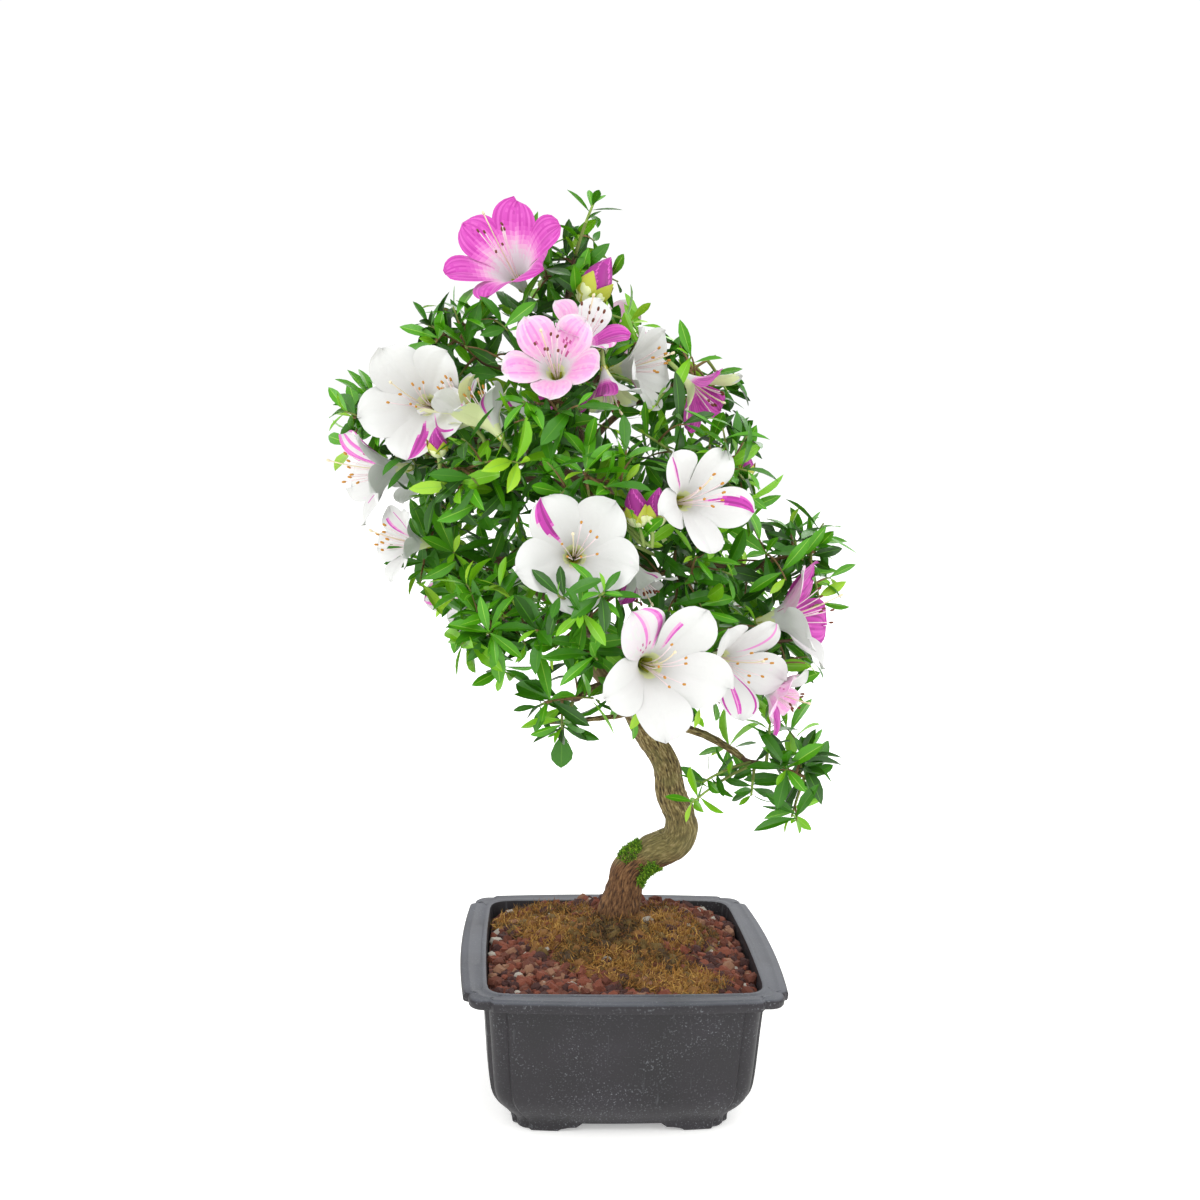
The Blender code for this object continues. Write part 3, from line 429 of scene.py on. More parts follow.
# %% The pot itself
DRAIN_PLACE, DRAIN_RADIUS, DRAIN_LOW, DRAIN_HIGH = 24.0, 5.0, 4.0, 10.5
SHARP_ANGLE = 34
round_count = skin.shape[1]
pot_points = np.vstack([skin.reshape(-1, 3), (0.0, 0.0, FLOOR_TOP), (0.0, 0.0, FLOOR_UNDER)])
turn = np.arange(round_count)
after = (turn + 1) % round_count
last = (len(levels) - 1) * round_count
floor_fan = np.stack([np.full(round_count, len(pot_points) - 2), after, turn], 1)
base_fan = np.stack([np.full(round_count, len(pot_points) - 1), last + turn, last + after], 1)
groups = [quads(1, len(levels), round_count, closed=True), floor_fan, base_fan]
pot = new_piece("moulded_pot", pot_points, groups, [plastic], slot="pot_plastic")


def drill(piece, x, y, radius, low, high, sides=28):
    """Cuts a round hole with a cylinder that reaches from low to high."""
    turn = np.arange(sides) * math.tau / sides
    ring = np.stack([x + radius * np.cos(turn), y + radius * np.sin(turn)], 1)
    points = np.vstack([np.column_stack([ring, np.full(sides, height)]) for height in (low, high)])
    mesh = bpy.data.meshes.new("drill")
    ends = [list(range(sides))[::-1], list(range(sides, 2 * sides))]
    faces = quads(1, 2, sides, closed=True).tolist() + ends
    mesh.from_pydata((points * MM + POT_CENTRE).tolist(), [], faces)
    cutter = bpy.data.objects.new("drill", mesh)
    bpy.context.scene.collection.objects.link(cutter)
    hole = piece.modifiers.new("drain_hole", "BOOLEAN")
    hole.operation, hole.solver, hole.object = "DIFFERENCE", "MANIFOLD", cutter
    bpy.context.view_layer.update()
    cut = bpy.data.meshes.new_from_object(piece.evaluated_get(bpy.context.evaluated_depsgraph_get()))
    piece.modifiers.clear()
    piece.data = cut
    bpy.data.objects.remove(cutter, do_unlink=True)


for x in (-DRAIN_PLACE, DRAIN_PLACE):
    for y in (-DRAIN_PLACE, DRAIN_PLACE):
        drill(pot, x, y, DRAIN_RADIUS, DRAIN_LOW, DRAIN_HIGH)
pot.data.shade_smooth()
pot.data.set_sharp_from_angle(angle=math.radians(SHARP_ANGLE))
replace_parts(pot, "pot")
print("faces of the pot:", len(pot.data.polygons))

# %% [markdown]
# ## Lava grit and dried moss
#
# The plant grows in red lava grit, crushed to 2 to 8 mm, with a few pale pumice grains. The bed keeps its
# CAD solid as its body. Loose grains lie on it: one stone of two dozen faces, scaled, turned and dented by
# chance for each grain, so that none looks like its neighbour. Dead moss lies over the middle in
# straw-brown tufts of fibres.

# %% Grit bed
GROUND, GRIT_EDGE, SEAT_RADIUS, GRIT_FALL = 77.15, 69.0, 19.0, 48.0
TRUNK_FOOT = np.array((3.0, 32.0))


def bed_height(places):
    """Level round the trunk's foot, then down to the pot's wall along 3s² − 2s³."""
    away = np.linalg.norm(places[:, :2] - TRUNK_FOOT, axis=1) - SEAT_RADIUS
    return GROUND - (GROUND - GRIT_EDGE) * smooth_step(0, GRIT_FALL, away)


# Lava is volcanic glass full of burst bubbles, and its fines fill the gaps: matt, dark red and crumbly.
grit_bed = finish("lava fines", "#5f332c", 0.95)
crumb = roughen(grit_bed, size=2.38, detail=4.0, strength=0.8, depth=1.0)
shade = ramp(grit_bed, crumb, ((0.35, "#2e1814"), (0.5, "#5f332c"), (0.68, "#87503f")))
plug(grit_bed, Base_Color=shade)
for bed_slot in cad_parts["grit_bed"].material_slots:
    bed_slot.material = grit_bed
print("grit at the wall and at the trunk:", GRIT_EDGE, GROUND)

# %% One stone
DENT = 0.22  # of a stone's radius, inwards or outwards


def stone_shape():
    """A cube of two by two squares a side, blown up most of the way to a ball."""
    shape = bmesh.new()
    bmesh.ops.create_cube(shape, size=2.0)
    bmesh.ops.subdivide_edges(shape, edges=shape.edges, cuts=1, use_grid_fill=True)
    points = np.array([vertex.co for vertex in shape.verts])
    faces = np.array([[vertex.index for vertex in face.verts] for face in shape.faces])
    shape.free()
    return 0.3 * points + 0.7 * unit(points) * 1.15, faces


def random_turns(count, rng):
    """Turning matrices spread evenly, from random unit quaternions."""
    w, x, y, z = unit(rng.normal(size=(count, 4))).T
    rows = (
        (1 - 2 * (y * y + z * z), 2 * (x * y - z * w), 2 * (x * z + y * w)),
        (2 * (x * y + z * w), 1 - 2 * (x * x + z * z), 2 * (y * z - x * w)),
        (2 * (x * z - y * w), 2 * (y * z + x * w), 1 - 2 * (x * x + y * y)),
    )
    return np.moveaxis(np.array(rows), 2, 0)


def stones(places, sizes, rng, flat=(0.65, 1.0)):
    """A stone at each place: the shape times a random stretch, dented at each point, then turned."""
    shape, faces = STONE
    count = len(places)
    stretch = rng.uniform(*flat, size=(count, 1, 3))
    dents = 1 + rng.uniform(-DENT, DENT, (count, len(shape), 1))
    points = shape * stretch * dents
    points = points @ random_turns(count, rng) * sizes[:, None, None] / 2
    all_faces = (np.arange(count)[:, None, None] * len(shape) + faces).reshape(-1, 4)
    return points + places[:, None, :], all_faces


STONE = stone_shape()
print("points and faces of a stone:", len(STONE[0]), len(STONE[1]))

# %% Loose grains
GRAIN_COUNT, GRAIN_HALF_WIDTH, GRAINS_OFF_TRUNK = 2300, 64.0, 12.5
GRAIN_SIZES = (2.2, 7.5)
GRAIN_LIFT = (-0.8, 1.2)  # lowest and highest middle of a grain over the bed
LAVA = (  # tone, colour and share of the grains
    ("brick", "#77402f", 0.29), ("rust", "#5f3325", 0.33), ("plum", "#412522", 0.24),
    ("fawn", "#85604a", 0.11), ("pumice", "#a39c92", 0.03),
)


def scatter_in_pot(count, half_width, rng):
    """Random places inside a rounded square, |x|⁶ + |y|⁶ < half_width⁶."""
    places = rng.uniform(-half_width, half_width, (4 * count, 2))
    inside = (np.abs(places) ** 6).sum(1) < half_width**6
    return places[inside][:count]


def off_trunk(places, gap):
    """True where a place on the bed is farther than the gap from the middle of the trunk's foot."""
    return np.linalg.norm(places - TRUNK_FOOT, axis=1) > gap


rng = np.random.default_rng(21)
flat_places = scatter_in_pot(GRAIN_COUNT, GRAIN_HALF_WIDTH, rng)
flat_places = flat_places[off_trunk(flat_places, GRAINS_OFF_TRUNK)]
sizes = rng.gamma(6.0, 0.72, len(flat_places)).clip(*GRAIN_SIZES)
heights = bed_height(flat_places) + rng.uniform(*GRAIN_LIFT, len(flat_places))
places = np.column_stack([flat_places, heights])
points, faces = stones(places, sizes, rng)
lava = [finish(f"lava grit, {tone}", colour, 0.93) for tone, colour, _ in LAVA]
for material in lava:
    roughen(material, size=0.667, detail=3.0, strength=0.7, depth=0.6)
tones = rng.choice(len(LAVA), len(places), p=[share for _, _, share in LAVA])
heap = Heap()
heap.add(points, faces, np.repeat(tones, len(STONE[1])))
heap.piece("grit_grains", lava, smooth=False, slot="lava_grit")

# %% Blades


def blades(roots, ways, ups, lengths, widths, form, lanes, curl, fold):
    """Thin blades, each a grid. Along it, form gives shares of length and width, and lanes run across it.

    A point is root + way·length·t − up·curl·length·t² + side·width/2·w(t)·s + up·fold·width/2·w(t)·|s|,
    where side is square to way and up, so curl droops the tip and fold lifts the margins.
    """
    t, w = np.array(form).T[:, None, :, None, None]
    s = np.array(lanes)[None, None, :, None]
    sides = unit(np.cross(ways, ups))
    ups = np.cross(sides, ways)
    roots, ways, ups, sides = (array[:, None, None, :] for array in (roots, ways, ups, sides))
    lengths, widths, curl, fold = (
        np.broadcast_to(value, len(roots))[:, None, None, None] for value in (lengths, widths, curl, fold)
    )
    half = widths / 2 * w
    points = roots + ways * lengths * t - ups * curl * lengths * t * t + sides * half * s
    points = points + ups * fold * half * np.abs(s)
    return points, quads(len(roots), len(form), len(lanes))


def any_square_to(ways, rng):
    """A random unit vector square to each way."""
    return unit(np.cross(ways, unit(rng.normal(size=ways.shape))))


print("faces of a blade with four stations and two lanes:", len(quads(1, 4, 2)))

# %% Where the dried moss lies
MOSS_TUFTS, MOSS_TRIES, MOSS_HALF_WIDTH, MOSS_OFF_TRUNK = 1300, 3400, 62.0, 11.5
MOSS_BACK, MOSS_FRONT = np.array((-46.0, 44.0)), np.array((34.0, -50.0))  # ends of the strip that it covers
MOSS_BY_TRUNK, MOSS_BY_TRUNK_RADIUS = (22.0, 20.0), 30.0


def ripples(places, length_x, shift_x, length_y, shift_y):
    """Hills and hollows between −1 and 1: sin(x/length + shift) times the same in y."""
    return np.sin(places[:, 0] / length_x + shift_x) * np.sin(places[:, 1] / length_y + shift_y)


rng = np.random.default_rng(5)
flat_places = scatter_in_pot(MOSS_TRIES, MOSS_HALF_WIDTH, rng)
strip = MOSS_FRONT - MOSS_BACK
along = np.clip((flat_places - MOSS_BACK) @ strip / (strip @ strip), 0, 1)
off_line = np.linalg.norm(flat_places - MOSS_BACK - along[:, None] * strip, axis=1)
patchy = 6.0 * ripples(flat_places, 6.5, 1.0, 8.0, 0.4)
reach_of_moss = 13.0 + 17.0 * np.sin(math.pi * np.clip(along, 0.08, 0.95)) + patchy
by_trunk = np.linalg.norm(flat_places - MOSS_BY_TRUNK, axis=1) / (MOSS_BY_TRUNK_RADIUS + patchy)
depth_in = 1 - np.minimum(off_line / reach_of_moss, by_trunk)
mossy = (depth_in > 0) & off_trunk(flat_places, MOSS_OFF_TRUNK)
flat_places, depth_in = flat_places[mossy][:MOSS_TUFTS], depth_in[mossy][:MOSS_TUFTS]
# The cushion swells by 2.8 mm in front and half as much at the back.
swelling = 2.8 - 1.4 * smooth_step(5, 40, flat_places[:, 1])
mound = bed_height(flat_places) + 0.8 + swelling * np.sqrt(depth_in) * rng.uniform(0.4, 1.0, len(depth_in))
tufts = np.column_stack([flat_places, mound])
print("tufts of dried moss:", len(tufts))

# %% Dried moss
# Dead moss is a felt of crinkled fibres, dull and straw-brown, darker where it is damp.
FIBRES, FIBRE_WIDTH, TUFT_RADIUS = 18, 0.52, 1.3
FIBRE_FORM = ((0.0, 0.7), (0.35, 1.0), (0.7, 0.8), (1.0, 0.1))
DRIED_TONES = (
    ("straw", "#b48c48"), ("gold", "#94682b"), ("umber", "#7b5529"), ("olive", "#655028"), ("dark", "#43301a"),
)
DARKEST = len(DRIED_TONES) - 1


def hump(places, middle, width):
    """exp(−(distance from the middle / width)²)."""
    return np.exp(-((np.linalg.norm(places - middle, axis=1) / width) ** 2))


roots = np.repeat(tufts, FIBRES, axis=0) + rng.normal(0, TUFT_RADIUS, (len(tufts) * FIBRES, 3)) * (1, 1, 0.5)
ways = unit(rng.normal(size=roots.shape) * (1, 1, 0.55) + (0, 0, 0.45))
lengths = rng.uniform(1.4, 3.6, len(roots))
curl = rng.uniform(-1.7, 1.9, len(roots))
ups = any_square_to(ways, rng)
points, faces = blades(roots, ways, ups, lengths, FIBRE_WIDTH, FIBRE_FORM, (-1, 1), curl, fold=0.0)
dried = [finish(f"dried moss, {tone}", colour, 0.9) for tone, colour in DRIED_TONES]
patch = 1.3 + 1.2 * ripples(flat_places, 9.0, 2.0, 11.0, 0.6)
patch += 1.2 * hump(flat_places, (0.0, 4.0), 24.0) - 1.6 * hump(flat_places, (26.0, -38.0), 14.0)
tuft_tones = np.clip((patch + rng.normal(0, 0.8, len(tufts))).round().astype(int), 0, DARKEST)
fibre_tones = np.clip(np.repeat(tuft_tones, FIBRES) + rng.integers(-1, 2, len(roots)), 0, DARKEST)
heap = Heap()
heap.add(points, faces, np.repeat(fibre_tones, len(FIBRE_FORM) - 1))
# A lump under every second tuft fills the felt, so that no grit shows between its fibres.
under = tufts[::2] - (0, 0, 1.6)
lumps, lump_faces = stones(under, rng.uniform(5.0, 9.0, len(under)), rng, flat=(0.6, 0.9))
heap.add(lumps, lump_faces, np.repeat(np.clip(tuft_tones[::2] + 1, 2, DARKEST), len(STONE[1])))
heap.piece("dried_moss", dried)

# %% [markdown]
# ## Trunk
#
# The trunk leaves the grit, swings right in one tight bend and comes back up into the crown. Near the
# ground its bark is red-brown and fibrous, above the bend olive-grey with shallow ridges that follow the
# grain. A skin of rings round the CAD's own middle line gives the shape, and layers of smooth noise
# stretched along the trunk push it in and out by up to a millimetre. The bark colour is a pattern on the
# straightened trunk, kept as an attribute, so it bends with the wood.

# %% Rings round a path
TRUNK = (  # x, y and z of the trunk's middle, and its radius there
    (3, 32, 77.9, 10.4), (5, 31, 93, 9.2), (8, 30, 105, 8.9), (20, 29, 114, 9.1), (30, 28, 119.5, 9.4),
    (34, 27, 127, 9.1), (33, 26, 136, 8.3), (28, 25, 148, 7.7), (24.5, 25, 164, 6.8), (16, 23, 178, 6.9),
    (5, 21, 197, 6.7), (-12, 19, 217, 5.9), (-20, 17, 241, 5.1), (-14, 17, 264, 4.6), (-7, 19, 292, 3.9),
    (-16, 20, 319, 3.3), (-28, 20, 346, 2.7), (-33, 19, 372, 2.1), (-33, 18, 390, 1.7),
)
TRUNK_PATH = smooth_path(TRUNK, 29)


def run_along(path):
    """Distance of each point from the start of a path, along it."""
    return np.concatenate([[0], np.linalg.norm(np.diff(path, axis=0), axis=1).cumsum()])


def square_pair(ways, aside):
    """Two unit vectors square to each way and to each other. The first is square to aside as well."""
    across = unit(np.cross(ways, aside))
    return across, np.cross(ways, across)


def round_about(angles, across, over):
    """Directions round an axis: cos a·across + sin a·over."""
    return np.cos(angles)[:, None] * across + np.sin(angles)[:, None] * over


def tubes(paths, radii, sides, swell=0.0, aside=(0.0, 1.0, 0.0)):
    """Rings round many paths: point + radius·(cos a·across + sin a·over), with flat caps at both ends.

    across is square to the path and to aside, so a ring never twists where the path stays off that direction.
    """
    paths = paths if paths.ndim == 3 else paths[None]
    radii = np.broadcast_to(radii, paths.shape[:2])
    across, over = square_pair(unit(np.gradient(paths, axis=-2)), aside)
    angle = np.arange(sides) * math.tau / sides
    reach = radii[:, :, None] + swell
    ring = round_about(angle, across[:, :, None, :], over[:, :, None, :])
    points = paths[:, :, None, :] + reach[..., None] * ring
    count, stations = paths.shape[:2]
    faces = quads(count, stations, sides, closed=True)
    first = np.arange(count)[:, None] * stations * sides
    caps = np.concatenate([first + np.arange(sides)[::-1], first + (stations - 1) * sides + np.arange(sides)])
    return points.reshape(-1, 3), faces, caps


def ring_noise(around, along, cells, seed):
    """Noise from −1 to 1 on a lattice of cells that closes round the trunk, eased between its corners."""
    lattice = np.random.default_rng(seed).uniform(-1, 1, (cells[0], cells[1] + 2))
    x, y = around * cells[0], along * cells[1]
    i, j = np.floor(x).astype(int), np.floor(y).astype(int)
    fx, fy = smooth_step(0, 1, x - i), smooth_step(0, 1, y - j)
    near, far = lattice[i % cells[0], j], lattice[(i + 1) % cells[0], j]
    near_on, far_on = lattice[i % cells[0], j + 1], lattice[(i + 1) % cells[0], j + 1]
    return (near * (1 - fx) + far * fx) * (1 - fy) + (near_on * (1 - fx) + far_on * fx) * fy


print("length of the trunk, in mm:", round(float(run_along(TRUNK_PATH[:, :3])[-1])))

# %% Bark
# Satsuki bark flakes off in thin fibrous strips. It is dull, red-brown where it is kept damp by the soil and
# grey-olive higher up, with darker furrows between paler ridges.
bark = finish("azalea bark", "#6f5c40", 0.85)
grain_place = add(bark, "Attribute", {"attribute_name": "straightened"}).outputs["Vector"]
height = add(bark, "SeparateXYZ", Vector=add(bark, "TexCoord").outputs["Object"]).outputs["Z"]
fibre_size = tuple(noise_scale(size) for size in (0.87, 0.87, 3.85))
fibre_place = add(bark, "Mapping", Vector=grain_place, Scale=fibre_size).outputs["Vector"]
fibre = add(bark, "TexNoise", Vector=fibre_place, Scale=1.0, Detail=6.0, Roughness=0.62).outputs["Fac"]
blotch = add(bark, "TexNoise", Vector=grain_place, Scale=noise_scale(11.8), Detail=3.0).outputs["Fac"]
upper_bark = ramp(bark, fibre, ((0.35, "#2b2110"), (0.45, "#5f4e2c"), (0.54, "#877546"), (0.64, "#b3a273")))
lower_bark = ramp(bark, fibre, ((0.35, "#2c1a0e"), (0.45, "#54371d"), (0.56, "#7b5635"), (0.67, "#977248")))
twig_bark = ramp(bark, fibre, ((0.30, "#4a3626"), (0.60, "#7a6048")))
# Where one bark ends and the next begins: by height, with the edge wandering by a centimetre or so.
wander = add(bark, "Math", {"operation": "MULTIPLY_ADD"}, F0=blotch, F1=0.024, F2=height).outputs["Value"]
is_upper = add(bark, "MapRange", Value=wander, From_Min=0.121, From_Max=0.129).outputs["Result"]
is_thin = add(bark, "MapRange", Value=wander, From_Min=0.200, From_Max=0.236).outputs["Result"]
colour = add(bark, "MixRGB", Fac=is_upper, Color1=lower_bark, Color2=upper_bark).outputs["Color"]
colour = add(bark, "MixRGB", Fac=is_thin, Color1=colour, Color2=twig_bark).outputs["Color"]
smooth_patch = add(bark, "MapRange", Value=blotch, From_Min=0.52, From_Max=0.66, To_Max=0.5).outputs["Result"]
bend = add(bark, "MapRange", Value=wander, From_Min=0.158, From_Max=0.132, To_Max=0.5).outputs["Result"]
smooth_patch = add(bark, "Math", {"operation": "MAXIMUM"}, F0=smooth_patch, F1=bend).outputs["Value"]
smooth_patch = add(bark, "Math", {"operation": "MULTIPLY"}, F0=smooth_patch, F1=is_upper).outputs["Value"]
colour = add(bark, "MixRGB", Fac=smooth_patch, Color1=colour, Color2=linear("#7b7646")).outputs["Color"]
relief = add(bark, "Bump", Height=fibre, Strength=0.9, Distance=0.0012).outputs["Normal"]
plug(bark, Base_Color=colour, Normal=relief)


def straighten(piece, values):
    """Keeps for each point where it lies on the straightened limb, for the grain to follow."""
    kept = piece.data.attributes.new("straightened", "FLOAT_VECTOR", "POINT")
    kept.data.foreach_set("vector", (values * MM).astype(np.float32).ravel())


print("nodes in the bark:", len(bark.node_tree.nodes))

# %% The trunk's skin
TRUNK_RINGS, TRUNK_SIDES = 420, 90
rings = smooth_path(TRUNK, TRUNK_RINGS)
trunk_middle, radii = rings[:, :3], rings[:, 3:]
angle = np.arange(TRUNK_SIDES) * math.tau / TRUNK_SIDES
above = (rings[:, 2] - rings[0, 2])[:, None]
run = run_along(trunk_middle)[:, None]
# Four root swellings at the foot, 1.2 mm proud, which are gone two centimetres up.
flare = 1.2 * np.exp(-above / 9.0) * (0.55 + 0.45 * np.cos(4 * angle + 0.8))
# Slow swellings on three sides that wind up the trunk, a twentieth of its radius.
knots = 0.05 * radii * np.sin(3 * angle + 0.09 * rings[:, 2:3]) * np.sin(0.11 * rings[:, 2:3])
around, along = np.broadcast_arrays(angle / math.tau, run / run[-1] * 0.999)
# Bark in four sizes of cell: sharp-edged ridges that wind, flakes, pits and broad lumps.
ridges = np.abs(ring_noise(around + 0.6 * along, along, (13, 42), 1)) ** 0.6 - 0.5
flakes = ring_noise(around, along, (30, 90), 2)
pits = ring_noise(around, along, (45, 210), 3)
lumps = ring_noise(around, along, (4, 16), 4)
size_share = radii / 9.0
relief = size_share * (0.75 * ridges + 0.32 * flakes + 0.16 * pits) + 0.07 * radii * lumps
points, faces, caps = tubes(trunk_middle, radii[:, 0], TRUNK_SIDES, flare + knots + relief)
trunk = new_piece("trunk_bark", points, [faces, caps], [bark], slot="bark")
straight = np.stack([radii * np.cos(angle), radii * np.sin(angle), np.broadcast_to(run, around.shape)], -1)
straighten(trunk, straight.reshape(-1, 3))
trunk_surface = points.reshape(TRUNK_RINGS, TRUNK_SIDES, 3)
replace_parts(trunk, "trunk")
print("deepest furrow and highest ridge, in mm:", relief.min().round(2), relief.max().round(2))

# %% [markdown]
# ## Boughs
#
# One bough leaves the trunk for each mass of foliage and arches a little on its way, because it was wired
# down and has grown up to the light since. Each is a tapering tube on the CAD bough's own line, with a
# knobbly skin. A dead side branch low on the left was sawn off years ago and is still there as a stub.

# %% Masses of foliage
# Each mass has its centre, its reach along x, y and z, the height on the trunk where its bough leaves, and
# the ends of its long shoots. The apex grows from the trunk's own tip.
MASSES = {
    "apex": ((-31, 15, 402), (26, 33, 33), None, ((-20, 8, 446), (2, 20, 390))),
    "upper_left": ((-80, 6, 374), (31, 36, 27), 338, ((-101, 5, 386),)),
    "upper_front": ((-38, -34, 346), (29, 30, 26), 322, ()),
    "upper_right": ((26, 8, 364), (33, 36, 27), 328, ((50, 15, 356), (11, -16, 349))),
    "left": ((-116, 10, 334), (34, 36, 34), 302, ((-139, 10, 345),)),
    "mid_left": ((-70, -26, 314), (32, 34, 27), 296, ()),
    "centre_front": ((-22, -46, 312), (29, 30, 25), 285, ()),
    "mid_right": ((34, -20, 318), (32, 36, 28), 290, ((52, 5, 334), (5, -26, 335))),
    "low_left": ((-87, 12, 274), (29, 34, 30), 252, ((-101, 0, 280), (-86, -8, 252))),
    "low_left_front": ((-58, -26, 245), (28, 32, 27), 232, ((-66, -20, 236),)),
    "low_front": ((-22, -46, 246), (31, 32, 30), 222,
                  ((-36.5, -81, 264), (-16.5, -83, 266), (-26.5, -85, 257))),
    "centre_right": ((22, -20, 270), (28, 34, 27), 262, ()),
    "right_arm": ((76, 8, 273), (34, 34, 28), 246, ((84, 0, 284), (94, 5, 271), (100, 8, 250))),
    "low_right_front": ((18, -36, 224), (32, 32, 27), 212, ()),
    "right_blooms": ((66, -4, 230), (30, 34, 26), 206, ()),
    "low_right_spray": ((76, 0, 168), (34, 34, 31), 185,
                        ((96, 5, 174), (88, 0, 142), (75, 0, 191), (40, -10, 162), (66, -4, 154),
                         (34, -16, 153))),
    "low_spray": ((-30, -20, 206), (27, 30, 24), 203, ((-31, -5, 186), (-44, -12, 200))),
    "rear_top": ((-12, 54, 371), (31, 34, 29), 334, ()),
    "rear_left": ((-74, 58, 326), (36, 36, 34), 293, ()),
    "rear_centre": ((-9, 74, 300), (36, 36, 36), 270, ()),
    "rear_right": ((42, 56, 306), (29, 36, 29), 282, ()),
    "rear_low_left": ((-59, 60, 258), (31, 36, 29), 226, ()),
    "rear_low_right": ((46, 60, 240), (35, 36, 32), 216, ()),
}
NAMES = list(MASSES)
CENTRES = np.array([MASSES[name][0] for name in NAMES], float)
REACHES = np.array([MASSES[name][1] for name in NAMES], float)
print("masses of foliage:", len(NAMES))

# %% Boughs
BOUGH_STATIONS, BOUGH_RINGS, BOUGH_SIDES = 15, 43, 16
STUB_HEIGHT, STUB_END, STUB_RADII = 191, np.array((-45.0, 8.0, 188.0)), (1.5, 1.1)


def trunk_at(height):
    """Middle and radius of the trunk at a height."""
    return np.array([np.interp(height, TRUNK_PATH[:, 2], TRUNK_PATH[:, k]) for k in range(4)])


def arched(start, end, rise, stations):
    """start + (end − start)·t, with 4·rise·span·t·(1 − t) added upwards."""
    t = np.linspace(0, 1, stations)[:, None]
    span = np.linalg.norm(end - start)
    return start + (end - start) * t + np.array((0.0, 0.0, 4 * rise * span)) * t * (1 - t)


def bough_of(centre, reach, height):
    """Middle line and radii of the bough that carries a mass: it ends at 0.45 of the reach from the centre."""
    start = trunk_at(height)
    way = unit((centre - start[:3]) / reach) * reach
    path = arched(start[:3], centre - 0.45 * way, 0.10, BOUGH_STATIONS)
    base = min(2.7, 0.62 * start[3])
    return path, np.linspace(base, 0.62 * base, BOUGH_STATIONS)


stub_path = arched(trunk_at(STUB_HEIGHT)[:3], STUB_END, -0.02, BOUGH_STATIONS)
limbs = [(stub_path, np.linspace(*STUB_RADII, BOUGH_STATIONS))]
limbs += [bough_of(CENTRES[k], REACHES[k], MASSES[name][2]) for k, name in enumerate(NAMES) if MASSES[name][2]]
stations = np.linspace(0, BOUGH_STATIONS - 1, BOUGH_RINGS)
fine_paths = np.array([smooth_path(path, BOUGH_RINGS) for path, _ in limbs])
fine_radii = np.array([np.interp(stations, np.arange(BOUGH_STATIONS), radii) for _, radii in limbs])
angle = np.arange(BOUGH_SIDES) * math.tau / BOUGH_SIDES
around, along = np.broadcast_arrays(angle / math.tau, np.linspace(0, 0.999, BOUGH_RINGS)[:, None])
knobs = np.array([ring_noise(around, along, (6, 24), 40 + number) for number in range(len(limbs))])
points, faces, caps = tubes(fine_paths, fine_radii, BOUGH_SIDES, 0.14 * fine_radii[..., None] * knobs)
boughs = new_piece("bough_bark", points, [faces, caps], [bark], slot="bark")
# Each bough takes its grain from another stretch of the same straight limb, 60 mm long.
run = np.linspace(0, 60, BOUGH_RINGS)[None, :, None] + 70.0 * np.arange(len(limbs))[:, None, None]
straight = np.stack(np.broadcast_arrays(2 * np.cos(angle), 2 * np.sin(angle), run), -1)
straighten(boughs, straight.reshape(-1, 3))
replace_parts(boughs, "sawn_stub", *(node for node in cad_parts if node.startswith("bough_")))
print("boughs:", len(limbs) - 1)
